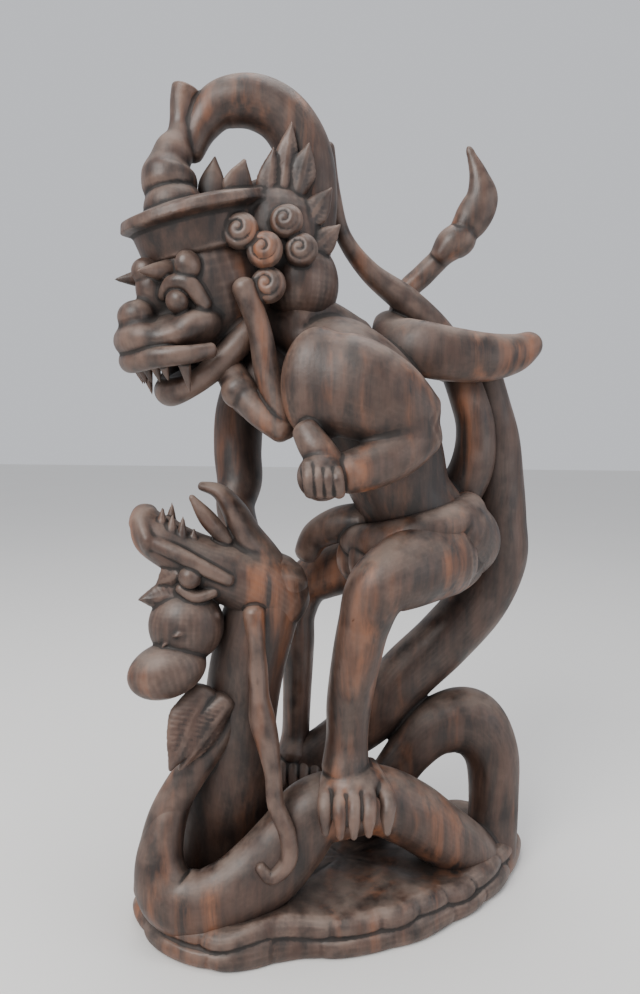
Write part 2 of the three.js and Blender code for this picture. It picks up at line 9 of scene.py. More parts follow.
import bpy
import numpy as np
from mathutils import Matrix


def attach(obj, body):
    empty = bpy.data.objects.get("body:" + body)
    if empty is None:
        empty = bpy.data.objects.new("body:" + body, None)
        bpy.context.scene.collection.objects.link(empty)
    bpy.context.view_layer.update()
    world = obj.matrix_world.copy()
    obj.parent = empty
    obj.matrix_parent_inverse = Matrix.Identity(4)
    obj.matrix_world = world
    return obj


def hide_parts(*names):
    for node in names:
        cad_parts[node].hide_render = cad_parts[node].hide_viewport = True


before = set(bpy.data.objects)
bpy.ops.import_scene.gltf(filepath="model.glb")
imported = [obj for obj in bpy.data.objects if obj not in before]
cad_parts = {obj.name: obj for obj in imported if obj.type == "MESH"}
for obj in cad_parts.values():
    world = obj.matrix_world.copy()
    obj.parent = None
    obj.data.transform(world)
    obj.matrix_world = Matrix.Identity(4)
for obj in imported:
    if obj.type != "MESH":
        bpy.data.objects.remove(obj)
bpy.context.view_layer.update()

import openvdb
from mathutils import Matrix

bl_info = {
    "name": "Carved monkey warrior",
    "version": (1, 0, 0),
    "blender": (4, 5, 0),
    "location": "3D View > Sidebar > Carving",
    "description": "Carves a dark wooden monkey warrior over a crowned serpent on a rocky base",
    "category": "Add Mesh",
}

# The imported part
NODE = "hanuman_figure"
BODY = "root"

# The drawing is in millimetres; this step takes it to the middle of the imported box
MM = 0.001
TO_MIDDLE = np.array([2.777, -0.191, 0.0])

RIGHT = np.array([1.0, 0.0, 0.0])
DEPTH = np.array([0.0, 1.0, 0.0])
UP = np.array([0.0, 0.0, 1.0])

# The lens: its place in the drawing, its tilt and its focal length for a 640 by 994 picture
LENS_AT = np.array([-20.0, -533.0, 360.0])
LENS_PITCH = math.radians(5.5)
LENS_ROLL = math.radians(0.6)
LENS_PIXELS = 720.0
PICTURE_MIDDLE = np.array([320.0, 497.0])
PICTURE_HEIGHT = 994.0
SENSOR_MM = 36.0

# The grid that the shapes are carved on
BAND_CELLS = 6
FAR = 9.0


# Vectors and smooth curves


def unit(vector):
    vector = np.asarray(vector, float)
    return vector / np.maximum(np.linalg.norm(vector, axis=-1, keepdims=True), 1e-9)


def smooth_path(stations, step=1.6):
    """Rows on a smooth curve through the stations, about step apart; a row is a place and two half widths."""
    knots = np.array([list(row) + [row[3]] if len(row) == 4 else list(row) for row in stations], float)
    padded = np.vstack([knots[:1], knots, knots[-1:]])
    rows = []
    for p0, p1, p2, p3 in zip(padded, padded[1:], padded[2:], padded[3:]):
        count = max(2, math.ceil(np.linalg.norm(p2[:3] - p1[:3]) / step))
        u = (np.arange(count) / count)[:, None]
        out = (p2 - p0) / 2
        into = (p3 - p1) / 2
        change = p2 - p1
        rows.append(p1 + u * (out + u * (3 * change - 2 * out - into + u * (out + into - 2 * change))))
    rows.append(knots[-1:])
    return np.concatenate(rows)


def frames_along(centres, side):
    """Two directions square to a path at each of its points: across it, and as near to side as it allows."""
    tangents = unit(np.gradient(centres, axis=0))
    lift = unit(side - tangents * (tangents @ side)[:, None])
    return tangents, np.cross(lift, tangents), lift


# Closed shapes: each is its points, its quads and the triangles that close its ends


def skin(rings, first, last):
    """A closed shape over equal rings of points, closed by a fan to one point at each end."""
    count, sides, _ = rings.shape
    points = np.concatenate([rings.reshape(-1, 3), [first, last]])
    here = np.arange(sides)
    after = (here + 1) % sides
    rows = (np.arange(count - 1) * sides)[:, None]
    quads = np.stack([rows + here, rows + after, rows + after + sides, rows + here + sides], -1)
    top = (count - 1) * sides
    near = np.stack([np.full(sides, len(points) - 2), after, here], -1)
    far = np.stack([np.full(sides, len(points) - 1), top + here, top + after], -1)
    return points, quads.reshape(-1, 4), np.concatenate([near, far])


def tube(stations, side=DEPTH, start=0.8, end=0.8, sides=40, step=1.6, relief=None):
    """A rounded limb along stations [x, y, z, across, deep], deep being its half width towards side.

    relief(along, turn) gives millimetres outward at a distance along the limb and an angle round it."""
    path = smooth_path(stations, step)
    centres = path[:, :3]
    tangents, across, lift = frames_along(centres, np.asarray(side, float))
    run = np.concatenate([[0.0], np.cumsum(np.linalg.norm(np.diff(centres, axis=0), axis=1))])
    wide = path[:, 3]
    deep = path[:, 4]
    bends = np.radians([75.0, 50.0, 25.0])

    def cap(at, sign, reach, angles):
        size = min(wide[at], deep[at]) * reach
        place = centres[at] + tangents[at] * (sign * size * np.sin(angles))[:, None]
        shrink = np.cos(angles)
        return place, wide[at] * shrink, deep[at] * shrink

    head = cap(0, -1, start, bends)
    tail = cap(-1, 1, end, bends[::-1])
    pick = np.concatenate([np.zeros(3, int), np.arange(len(path)), np.full(3, len(path) - 1)])
    places = np.concatenate([head[0], centres, tail[0]])
    wides = np.concatenate([head[1], wide, tail[1]])
    deeps = np.concatenate([head[2], deep, tail[2]])
    turn = 2 * np.pi * np.arange(sides) / sides
    a = across[pick][:, None, :]
    b = lift[pick][:, None, :]
    cos = np.cos(turn)[None, :, None]
    sin = np.sin(turn)[None, :, None]
    rings = places[:, None, :] + a * wides[:, None, None] * cos + b * deeps[:, None, None] * sin
    if relief is not None:
        out = unit(a * cos / wides[:, None, None] + b * sin / deeps[:, None, None])
        fade = np.concatenate([np.cos(bends), np.ones(len(path)), np.cos(bends[::-1])])
        rings = rings + out * (relief(run[pick][:, None], turn[None, :]) * fade[:, None])[..., None]
    tip = centres[0] - tangents[0] * min(wide[0], deep[0]) * start
    toe = centres[-1] + tangents[-1] * min(wide[-1], deep[-1]) * end
    return skin(rings, tip, toe)


def ball(centre, radii, axes=(RIGHT, DEPTH, UP), around=36, rows=24, relief=None):
    """An ellipsoid whose radii lie along the axes; relief(rise, turn) gives millimetres outward."""
    rise = (np.pi * np.arange(1, rows) / rows)[:, None]
    turn = (2 * np.pi * np.arange(around) / around)[None, :]
    size = 1.0 if relief is None else 1 + relief(rise, turn) / min(radii)
    local = [np.sin(rise) * np.cos(turn) * size, np.sin(rise) * np.sin(turn) * size, -np.cos(rise) * size]
    centre = np.asarray(centre, float)
    rings = centre + sum(
        (radius * (part + 0 * turn))[..., None] * np.asarray(axis, float)
        for radius, part, axis in zip(radii, local, axes)
    )
    pole = radii[2] * np.asarray(axes[2], float)
    return skin(rings, centre - pole, centre + pole)


def spike(foot, tip, radius, sides=14, bend=(0.0, 0.0, 0.0)):
    """A pointed cone from foot to tip whose middle is pushed aside by bend."""
    foot = np.asarray(foot, float)
    tip = np.asarray(tip, float)
    axis = unit(tip - foot)
    side = RIGHT if abs(axis[1]) > 0.8 else DEPTH
    middle = (foot + tip) / 2 + np.asarray(bend, float)
    stations = [[*foot, radius], [*middle, radius * 0.62], [*tip, radius * 0.1]]
    return tube(stations, side=side, start=0.5, end=0.8, sides=sides, step=1.2)


def leaf(foot, tip, wide, thick, face, curl=0.0, belly=0.4, veins=0.0):
    """A pointed leaf whose flat side looks towards face and whose tip curls that way by curl."""
    foot = np.asarray(foot, float)
    axis = np.asarray(tip, float) - foot
    face = unit(np.asarray(face, float) - unit(axis) * (unit(axis) @ np.asarray(face, float)))
    length = np.linalg.norm(axis)
    stations = []
    for s in np.linspace(0.0, 1.0, 9):
        swell = 0.6 + 0.4 * min(s / belly, 1.0)
        narrow = max(0.0, (s - belly) / (1 - belly))
        half = wide * max(swell * (1 - narrow**1.6), 0.06)
        stations.append([*(foot + axis * s + face * curl * s**2.2), half, thick * (1 - 0.6 * s)])

    def relief(along, turn):
        side = np.cos(turn)
        rib = 0.9 * np.exp(-((side / 0.16) ** 2)) * (np.sin(turn) > 0)
        cut = 0.5 + 0.5 * np.cos(2 * np.pi * (along / 3.4 - 1.6 * np.abs(side)))
        return veins * (rib - 0.8 * cut**3 * (np.abs(side) > 0.18)) * np.clip(along / length * 4, 0, 1)

    return tube(stations, side=face, start=0.5, end=0.6, sides=30, relief=relief if veins else None)


def volute(centre, face, up, radius, thick, turns=1.9, groove=1.3, hand=1):
    """A domed disc with a spiral groove cut into the side that looks towards face: one carved curl."""
    centre = np.asarray(centre, float)
    face = unit(face)
    up = unit(np.asarray(up, float) - face * (face @ np.asarray(up, float)))
    across = np.cross(up, face) * hand
    out = np.concatenate([np.linspace(0.04, 1.0, 22), [1.04, 1.0, 0.9]])
    lift = np.concatenate([np.sqrt(np.maximum(1 - np.linspace(0.04, 1.0, 22) ** 2, 0)), [-0.3, -0.8, -1.0]])
    turn = 2 * np.pi * np.arange(40) / 40
    spiral = (out[:, None] * turns - turn[None, :] / (2 * np.pi)) % 1.0
    cut = np.exp(-(((spiral - 0.5) / 0.2) ** 2)) * (lift[:, None] > -0.1) * np.clip(out * 4, 0, 1)[:, None]
    height = thick * (0.35 + 0.65 * lift[:, None]) - groove * cut
    rings = (
        centre
        + radius * out[:, None, None] * (across * np.cos(turn)[:, None] + up * np.sin(turn)[:, None])
        + face * height[..., None]
    )
    return skin(rings, centre + face * thick, centre - face * thick * 0.3)


# Carving: shapes are joined and cut in turn on a grid of distances


def join(shape, blend=1.0):
    return shape, 1.0, blend


def cut(shape, blend=0.6):
    return shape, -1.0, blend


def joined(shapes, blend=1.0):
    return [join(shape, blend) for shape in shapes]


def soft_min(a, b, blend):
    """The nearer of two distances, rounded where they are within blend of each other."""
    near = np.maximum(blend - np.abs(a - b), 0.0)
    return np.minimum(a, b) - near * near / (4 * blend)


def distances(shape, cell):
    """The grid of distances round one closed shape, and the corner that it starts from."""
    points, quads, fans = shape
    grid = openvdb.FloatGrid.createLevelSetFromPolygons(
        points.astype(np.float32),
        triangles=fans.astype(np.uint32),
        quads=quads.astype(np.uint32),
        transform=openvdb.createLinearTransform(voxelSize=cell),
        halfWidth=float(BAND_CELLS),
    )
    corner = np.floor(points.min(0) / cell).astype(int) - BAND_CELLS - 1
    size = np.ceil(points.max(0) / cell).astype(int) + BAND_CELLS + 2 - corner
    block = np.zeros(tuple(size), np.float32)
    grid.copyToArray(block, ijk=tuple(int(v) for v in corner))
    return block, corner


def carve(steps, cell, floor=True):
    """Joins and cuts the shapes in turn, and gives the grid and its corner."""
    low = np.min([step[0][0].min(0) for step in steps if step[1] > 0], axis=0)
    high = np.max([step[0][0].max(0) for step in steps if step[1] > 0], axis=0)
    corner = np.floor(low / cell).astype(int) - BAND_CELLS - 2
    size = np.ceil(high / cell).astype(int) + BAND_CELLS + 3 - corner
    block = np.full(tuple(size), FAR, np.float32)
    for shape, sign, blend in steps:
        part, start = distances(shape, cell)
        first = np.maximum(start, corner)
        last = np.minimum(start + part.shape, corner + block.shape)
        if np.any(last <= first):
            continue
        here = tuple(slice(a, b) for a, b in zip(first - corner, last - corner))
        there = tuple(slice(a, b) for a, b in zip(first - start, last - start))
        block[here] = sign * soft_min(sign * block[here], part[there], blend)
    if floor:
        heights = (corner[2] + np.arange(block.shape[2])) * cell
        block = np.maximum(block, -heights[None, None, :].astype(np.float32))
    return block, corner


def largest_island(count, edges):
    """Which points belong to the largest connected body."""
    label = np.arange(count)
    while True:
        low = np.minimum(label[edges[:, 0]], label[edges[:, 1]])
        before = label.copy()
        np.minimum.at(label, edges[:, 0], low)
        np.minimum.at(label, edges[:, 1], low)
        label = label[label]
        if np.array_equal(before, label):
            break
    names, sizes = np.unique(label, return_counts=True)
    return label == names[np.argmax(sizes)]


def surface(block, corner, cell):
    """The closed surface of a carved grid as points in millimetres and quads that face outwards."""
    grid = openvdb.FloatGrid(FAR)
    grid.transform = openvdb.createLinearTransform(voxelSize=cell)
    grid.copyFromArray(block, ijk=tuple(int(v) for v in corner), tolerance=0.0)
    points, _, quads = grid.convertToPolygons(0.0, 0.0)
    points = points.astype(float)
    quads = quads.astype(np.int64)
    keep = largest_island(len(points), quad_edges(quads))
    quads = quads[keep[quads[:, 0]]]
    number = np.cumsum(keep) - 1
    points = points[keep]
    quads = number[quads]
    a, b, c, d = (points[quads[:, k]] for k in range(4))
    if np.einsum("ij,ij->i", np.cross(c - a, d - b), (a + c) / 2).sum() < 0:
        quads = quads[:, ::-1]
    return points, quads


def quad_edges(quads):
    return np.concatenate([quads[:, [0, 1]], quads[:, [1, 2]], quads[:, [2, 3]], quads[:, [3, 0]]])


def point_normals(points, quads):
    """The direction that the surface faces at each point."""
    a, b, c, d = (points[quads[:, k]] for k in range(4))
    face = np.cross(c - a, d - b)
    total = np.zeros_like(points)
    for k in range(4):
        for axis in range(3):
            total[:, axis] += np.bincount(quads[:, k], face[:, axis], len(points))
    return unit(total)


def relaxed(points, edges, rounds):
    """The points after each has moved to the middle of its neighbours a number of times."""
    count = np.maximum(np.bincount(edges.ravel(), minlength=len(points)), 1)[:, None]
    for _ in range(rounds):
        total = np.stack(
            [
                np.bincount(edges[:, 0], points[edges[:, 1], axis], len(points))
                + np.bincount(edges[:, 1], points[edges[:, 0], axis], len(points))
                for axis in range(3)
            ],
            axis=1,
        )
        points = total / count
    return points


# Fine cuts, pressed into the finished surface point by point


def wave_noise(places, scale, seed):
    """Soft seeded unevenness between -1 and 1 with lumps about scale across."""
    chance = np.random.default_rng(seed)
    total = np.zeros(len(places))
    for _ in range(7):
        direction = unit(chance.normal(size=3))
        total += np.sin(places @ direction * (chance.uniform(0.7, 1.6) * 2 * np.pi / scale) + chance.uniform(0, 6.3))
    return total / 3.2


def lens_axes():
    """The directions to the right, down and ahead in the picture."""
    ahead = np.array([0.0, math.cos(LENS_PITCH), -math.sin(LENS_PITCH)])
    down = np.array([0.0, -math.sin(LENS_PITCH), -math.cos(LENS_PITCH)])
    right = RIGHT * math.cos(LENS_ROLL) - down * math.sin(LENS_ROLL)
    return right, RIGHT * math.sin(LENS_ROLL) + down * math.cos(LENS_ROLL), ahead


def picture_place(points):
    """Where the lens sees each point, in pixels of the 640 by 994 picture."""
    right, down, ahead = lens_axes()
    ray = points - LENS_AT
    far = ray @ ahead
    return PICTURE_MIDDLE + LENS_PIXELS * np.stack([ray @ right / far, ray @ down / far], -1)


def spot(u, v, depth):
    """The place that the picture shows at pixel (u, v), at a depth along Y in millimetres."""
    right, down, ahead = lens_axes()
    ray = ahead + (right * (u - PICTURE_MIDDLE[0]) + down * (v - PICTURE_MIDDLE[1])) / LENS_PIXELS
    return LENS_AT + ray * ((depth - LENS_AT[1]) / ray[1])


def stroke_depth(points, normals, strokes, width, nearest_y=-999.0, farthest_y=999.0):
    """How strongly each point lies on a drawn line: 1 in the middle of a line, 0 away from it.

    The lines are drawn in pixels of the picture and pressed straight away from the lens."""
    facing = np.einsum("ij,ij->i", normals, unit(LENS_AT - points))
    near = np.clip((facing - 0.05) * 5, 0, 1)
    near = near * (points[:, 1] > nearest_y) * (points[:, 1] < farthest_y)
    spots = picture_place(points)
    total = np.zeros(len(points))
    for stroke in strokes:
        line = smooth_path([[u, 0.0, v, 1.0, 1.0] for u, v in stroke], 1.0)[:, [0, 2]]
        low = line.min(0) - 2.5 * width
        high = line.max(0) + 2.5 * width
        chosen = np.nonzero(np.all((spots > low) & (spots < high), axis=1) & (near > 0))[0]
        if not len(chosen):
            continue
        gap = np.linalg.norm(spots[chosen, None, :] - line[None, :, :], axis=2)
        nearest = gap.argmin(1)
        reach = np.minimum(nearest, len(line) - 1 - nearest)
        taper = np.clip((reach + 1) / 4.0, 0.35, 1.0)
        value = np.exp(-((gap[np.arange(len(chosen)), nearest] / (width * taper)) ** 2)) * near[chosen]
        total[chosen] = np.maximum(total[chosen], value * taper)
    return total


def chance_of(number, seed):
    """A repeatable number from 0 to 1 for each whole number."""
    return np.modf(np.abs(np.sin(number * 12.9898 + seed * 78.233) * 43758.5453))[0]


def hair_cuts(around, along, pitch, length, seed):
    """Carved hair: 0 on the crest of a strand and up to 1 in the cut between two strands."""
    around = around + 1.1 * np.sin(along / 7.0 + seed) + 0.8 * np.sin(along / 3.1 + around / 9.0)
    lane = np.floor(around / pitch)
    row = along / length + chance_of(lane, seed)
    around = around + pitch * 0.5 * (chance_of(np.floor(row), seed + 3) - 0.5)
    edge = np.abs(np.modf(around / pitch + 1000.0)[0] - 0.5) * 2
    fade = np.sqrt(np.abs(np.sin(np.pi * np.modf(row + 1000.0)[0])))
    return np.clip((edge - 0.35) / 0.65, 0, 1) ** 1.3 * fade


def limb_places(points, stations, side=DEPTH):
    """For each point: millimetres along a limb, angle round it, and distance from its line over its size."""
    path = smooth_path(stations, 3.0)
    centres = path[:, :3]
    _, across, lift = frames_along(centres, np.asarray(side, float))
    run = np.concatenate([[0.0], np.cumsum(np.linalg.norm(np.diff(centres, axis=0), axis=1))])
    nearest = np.empty(len(points), int)
    for first in range(0, len(points), 20000):
        part = points[first : first + 20000, None, :] - centres[None]
        nearest[first : first + 20000] = np.einsum("ijk,ijk->ij", part, part).argmin(1)
    off = points - centres[nearest]
    a = np.einsum("ij,ij->i", off, across[nearest])
    b = np.einsum("ij,ij->i", off, lift[nearest])
    tangent = np.cross(across[nearest], lift[nearest])
    along = run[nearest] - np.einsum("ij,ij->i", off, tangent)
    ratio = np.hypot(a / path[nearest, 3], b / path[nearest, 4])
    return along, np.arctan2(b, a), ratio


# Marks kept on the points for the finish


def shelter_grid():
    """How deep each place lies among the forms of the whole figure, on a coarse grid."""
    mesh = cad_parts[NODE].data
    points = np.zeros(len(mesh.vertices) * 3)
    mesh.vertices.foreach_get("co", points)
    mesh.calc_loop_triangles()
    triangles = np.zeros(len(mesh.loop_triangles) * 3, np.int32)
    mesh.loop_triangles.foreach_get("vertices", triangles)
    points = points.reshape(-1, 3) / MM - TO_MIDDLE
    cell = 3.0
    spots, number = np.unique(np.round(points, 2), axis=0, return_inverse=True)
    shape = (spots, np.zeros((0, 4), int), number.reshape(-1)[triangles.reshape(-1, 3)])
    block, corner = distances(shape, cell)
    filled = np.clip(0.5 - block / (2 * cell), 0, 1)
    pad = 8
    filled = np.pad(filled, pad)
    for axis in range(3):
        for _ in range(3):
            total = np.cumsum(filled, axis=axis)
            filled = (np.roll(total, -3, axis) - np.roll(total, 4, axis)) / 7
            filled = np.clip(filled, 0, 1)
    return filled, corner - pad, cell


SHELTER = shelter_grid()


def sheltered(points, normals):
    """From 0 on an open face to 1 deep between forms."""
    filled, corner, cell = SHELTER
    places = np.round((points + normals * 7.0) / cell).astype(int) - corner
    places = np.clip(places, 0, np.array(filled.shape) - 1)
    value = filled[places[:, 0], places[:, 1], places[:, 2]]
    return np.clip((value - 0.16) / 0.5, 0, 1)


def make_mesh(name, points, faces, marks):
    """A mesh in metres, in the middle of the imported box, with its marks as point attributes."""
    mesh = bpy.data.meshes.new(name)
    sides = faces.shape[1]
    mesh.vertices.add(len(points))
    mesh.vertices.foreach_set("co", ((points + TO_MIDDLE) * MM).astype(np.float32).ravel())
    mesh.loops.add(faces.size)
    mesh.loops.foreach_set("vertex_index", faces.astype(np.int32).ravel())
    mesh.polygons.add(len(faces))
    mesh.polygons.foreach_set("loop_start", np.arange(0, faces.size, sides, dtype=np.int32))
    mesh.update(calc_edges=True)
    for mark, values in marks.items():
        layer = mesh.attributes.new(mark, "FLOAT", "POINT")
        layer.data.foreach_set("value", values.astype(np.float32))
    return mesh


def finish_piece(name, points, quads, cuts, material, most):
    """Makes one object of a carved surface, with its marks, thinned to at most that many triangles."""
    edges = quad_edges(quads)
    edges = np.unique(np.sort(edges, axis=1), axis=0)
    normals = point_normals(points, quads)
    near = relaxed(points, edges, 5)
    wide = relaxed(near, edges, 22)
    marks = {
        "hollow": np.einsum("ij,ij->i", near - points, normals),
        "dip": np.einsum("ij,ij->i", wide - points, normals),
        "shelter": sheltered(points, normals),
        "cuts": cuts,
    }
    mesh = make_mesh(name, points, quads, marks)
    piece = bpy.data.objects.new(name, mesh)
    bpy.context.scene.collection.objects.link(piece)
    triangles = 2 * len(quads)
    if triangles > most:
        thin = piece.modifiers.new("Thin", "DECIMATE")
        thin.ratio = most / triangles
        thin.use_collapse_triangulate = True
        bake_modifiers(piece)
    shade_smooth(piece)
    piece.data.materials.append(material)
    settle(piece)
    return piece


def bake_modifiers(piece):
    """Turns an object's modifiers into plain mesh."""
    graph = bpy.context.evaluated_depsgraph_get()
    made = bpy.data.meshes.new_from_object(piece.evaluated_get(graph), depsgraph=graph)
    old = piece.data
    piece.modifiers.clear()
    piece.data = made
    bpy.data.meshes.remove(old)


def shade_smooth(piece):
    piece.data.polygons.foreach_set("use_smooth", np.ones(len(piece.data.polygons), bool))
    piece.data.update()


def settle(piece):
    """Gives a piece its body and hides the imported solid that it stands for."""
    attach(piece, BODY)
    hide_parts(NODE)


def cell_size():
    sizes = bpy.context.scene.carving_sizes
    return sizes.cell * 1.0


def build_piece(name, steps, fine, most, coarser=1.0):
    """Carves the steps, presses the fine cuts in and makes the object.

    fine(points, normals) gives millimetres inward and the share of each point that lies in a cut."""
    cell = cell_size() * coarser
    block, corner = carve(steps, cell)
    points, quads = surface(block, corner, cell)
    normals = point_normals(points, quads)
    inward, cuts = fine(points, normals)
    points = points - normals * inward[:, None]
    points[:, 2] = np.maximum(points[:, 2], 0.0)
    return finish_piece(name, points, quads, cuts, wood("carved_wood"), most)


def nothing_fine(points, normals):
    return np.zeros(len(points)), np.zeros(len(points))


# The rocky base

BASE_THICK = 27.0
BASE_LOBES = 11
BASE_OUTLINE = [
    [-156, -22], [-148, -49], [-134, -69], [-110, -85], [-86, -92], [-63, -89], [-32, -79], [-8, -79],
    [24, -72], [53, -61], [77, -45], [103, -26], [129, 1], [146, 29], [156, 60], [146, 82],
    [118, 92], [78, 91], [30, 86], [-20, 86], [-68, 76], [-112, 56], [-142, 20],
]


def base_outline():
    """The rim as a smooth closed loop of x and y, and each point's share of the way round."""
    looped = BASE_OUTLINE[-1:] + BASE_OUTLINE + BASE_OUTLINE[:2]
    path = smooth_path([[x, y, 0.0, 1.0, 1.0] for x, y in looped], 2.0)[:, :2]
    first = np.argmin(np.linalg.norm(path - BASE_OUTLINE[0], axis=1))
    rest = first + 60 + np.argmin(np.linalg.norm(path[first + 60 :] - BASE_OUTLINE[0], axis=1))
    loop = path[first:rest]
    return loop, np.arange(len(loop)) / len(loop)


def carve_base():
    loop, share = base_outline()
    layers = [
        (0.0, 0.962), (2.0, 0.985), (5.0, 0.999), (9.0, 1.003), (12.5, 0.992), (14.5, 0.972), (16.0, 0.966),
        (18.0, 0.976), (21.0, 0.972), (24.0, 0.955), (26.5, 0.925), (28.0, 0.88),
    ]
    lower = np.abs(np.sin(np.pi * share * (BASE_LOBES + 6) + 0.6 * np.sin(2 * np.pi * share * 5)))
    upper = np.abs(np.sin(np.pi * share * (BASE_LOBES + 10) + 1.1 + 0.9 * np.sin(2 * np.pi * share * 3)))
    rings = []
    for height, scale in layers:
        wave = 0.022 * (lower**0.6 - 1) if height < 15 else 0.03 * (upper**0.6 - 1)
        lift = 1.6 * np.sin(2 * np.pi * share * 7) * (height > 13) + 0.9 * np.sin(2 * np.pi * share * 12 + 1)
        size = (scale + wave)[:, None]
        z = height + lift * min(height / 14.0, 1.0) * (height > 1)
        rings.append(np.column_stack([loop * size, z * np.ones(len(loop))]))
    block = skin(np.array(rings), np.array([0.0, 0.0, 0.0]), np.array([0.0, 5.0, 24.0]))
    return [join(block, 1.0)]


# The serpent's body: neck, front band and arch, loop, rising coil, wrap, stem and flame

NECK = [
    [-52, -26, 252, 25, 24], [-62, -28, 225, 27, 26], [-71, -27, 190, 27, 27], [-77, -25, 150, 27, 26],
    [-82, -20, 110, 30, 24], [-90, -12, 70, 36, 24], [-94, -4, 30, 42, 24], [-94, 0, 10, 44, 24],
]
BAND = [
    [-92, -38, 138, 10, 11], [-112, -42, 112, 11, 12], [-124, -50, 86, 13, 14], [-129, -58, 58, 17, 16],
    [-121, -64, 38, 22, 17], [-99, -66, 31, 25, 17], [-76, -62, 38, 26, 17], [-55, -54, 51, 27, 18],
    [-38, -47, 68, 26, 19], [-23, -41, 85, 25, 21], [-1, -34, 89, 25, 22], [23, -26, 88, 25, 22],
    [50, -16, 72, 25, 22], [74, -4, 50, 24, 22], [98, 12, 26, 23, 22], [112, 22, 12, 20, 20],
]
LOOP = [
    [124, 34, 8, 21, 20], [128, 44, 52, 20.5, 20], [125, 48, 92, 23, 21], [106, 48, 117, 28, 22],
    [78, 46, 113, 24, 20], [56, 43, 92, 19, 18], [38, 40, 66, 18, 17], [20, 40, 34, 18, 17],
    [12, 40, 12, 18, 17],
]
RISE = [
    [-86, 52, 14, 20, 19], [-70, 57, 40, 20, 19], [-43, 58, 66, 20, 19], [-9, 58, 90, 20, 20],
    [26, 58, 118, 23, 22], [53, 58, 152, 24, 23], [84, 56, 184, 24, 23], [112, 54, 219, 24, 23],
    [127, 52, 255, 23, 22], [126, 50, 287, 22, 21], [123, 48, 320, 21, 20], [121, 46, 352, 18, 18],
    [115, 44, 380, 15, 15], [110, 42, 400, 13, 13],
]
WRAP = [
    [34, 38, 444, 13, 8], [35, 18, 432, 17, 9], [47, 5, 421, 20, 10], [70, 1, 415, 20, 11],
    [100, 5, 413, 18, 12], [124, 18, 417, 15, 13], [138, 28, 424, 11, 14],
]
STEM = [
    [110, 44, 398, 12, 12], [72, 56, 414, 12, 12], [46, 60, 436, 11, 11], [46, 60, 466, 9, 9],
    [62, 61, 484, 9, 9], [80, 59, 502, 8.5, 8.5], [90, 56, 514, 9, 9],
]
KNOT = [[74, 59, 497, 9, 12], [82, 58, 506, 13, 14], [90, 57, 511, 13, 13], [95, 56, 517, 9, 10]]
FLAME = [
    [86, 57, 510, 9, 8], [97, 54, 524, 14, 10], [104, 51, 540, 13, 9], [101, 50, 557, 7.5, 6],
    [95, 50, 572, 3.6, 3],
]


def carve_coils():
    return [
        join(tube(NECK), 3.0),
        join(tube(BAND), 3.0),
        join(tube(LOOP), 3.0),
        join(tube(RISE), 3.0),
        join(tube(STEM), 3.0),
        join(tube(KNOT), 1.0),
        join(tube(FLAME, end=2.6), 1.0),
    ]


# The serpent's head, thrown back with its jaws open to the sky

SKULL = [
    [-46, -26, 236, 22, 22], [-64, -32, 250, 25, 25], [-84, -37, 259, 22, 24], [-104, -40, 268, 18, 22],
    [-121, -41, 277, 16.5, 21], [-134, -40, 286, 16, 19], [-141, -39, 295, 11, 16],
]
LOWER_JAW = [
    [-50, -27, 246, 17, 20], [-62, -29, 268, 14, 19], [-72, -31, 285, 11, 17], [-80, -33, 302, 8.5, 14],
    [-90, -35, 315, 5.5, 10], [-102, -37, 319, 3.2, 6],
]
INNER_JAW = [[-84, -42, 282, 5, 6], [-96, -46, 297, 6, 7], [-106, -48, 311, 2.5, 3]]
NOSE_ROLL = [[-134, -56, 281, 9, 6], [-140, -48, 291, 10, 7], [-143, -38, 296, 10, 8], [-141, -26, 296, 9, 7]]
SERPENT_LIP = [[-132, -57, 283, 5, 5], [-114, -62, 276, 5, 5], [-96, -62, 266, 5, 4], [-80, -60, 258, 4, 4]]
SERPENT_TEETH = [[-127, -50, 299], [-120, -52, 297], [-113, -52, 293], [-106, -50, 288], [-124, -34, 300]]
CREST = [
    [[-114, -54, 262], [-130, -52, 254], 9, 8], [[-106, -50, 246], [-142, -54, 243], 13, 9],
    [[-104, -50, 236], [-124, -66, 214], 11, 8], [[-92, -50, 232], [-116, -70, 222], 10, 8],
]
BUD_CENTRE = [-122, -60, 196]
BUD_AXIS = unit([-0.93, -0.25, -0.27])
MANE = [
    [-78, -40, 164, 8, 10], [-92, -44, 142, 11, 11], [-110, -47, 116, 12, 11], [-126, -51, 88, 12, 11],
    [-136, -54, 58, 10, 11], [-140, -52, 34, 9, 10],
]
RIBBON = [
    [-64, -54, 234, 8, 8], [-62, -58, 214, 6, 7], [-61, -58, 196, 7, 8], [-60, -58, 178, 7, 8],
    [-58, -58, 162, 9, 9], [-54, -60, 146, 8, 8], [-50, -62, 124, 6, 6], [-48, -64, 104, 6, 6],
    [-40, -66, 84, 6, 6], [-39, -68, 66, 6, 6], [-50, -70, 55, 5, 5], [-58, -70, 62, 4, 4],
]


def bud_axes():
    rise = unit(UP - BUD_AXIS * (UP @ BUD_AXIS))
    return BUD_AXIS, np.cross(rise, BUD_AXIS), rise


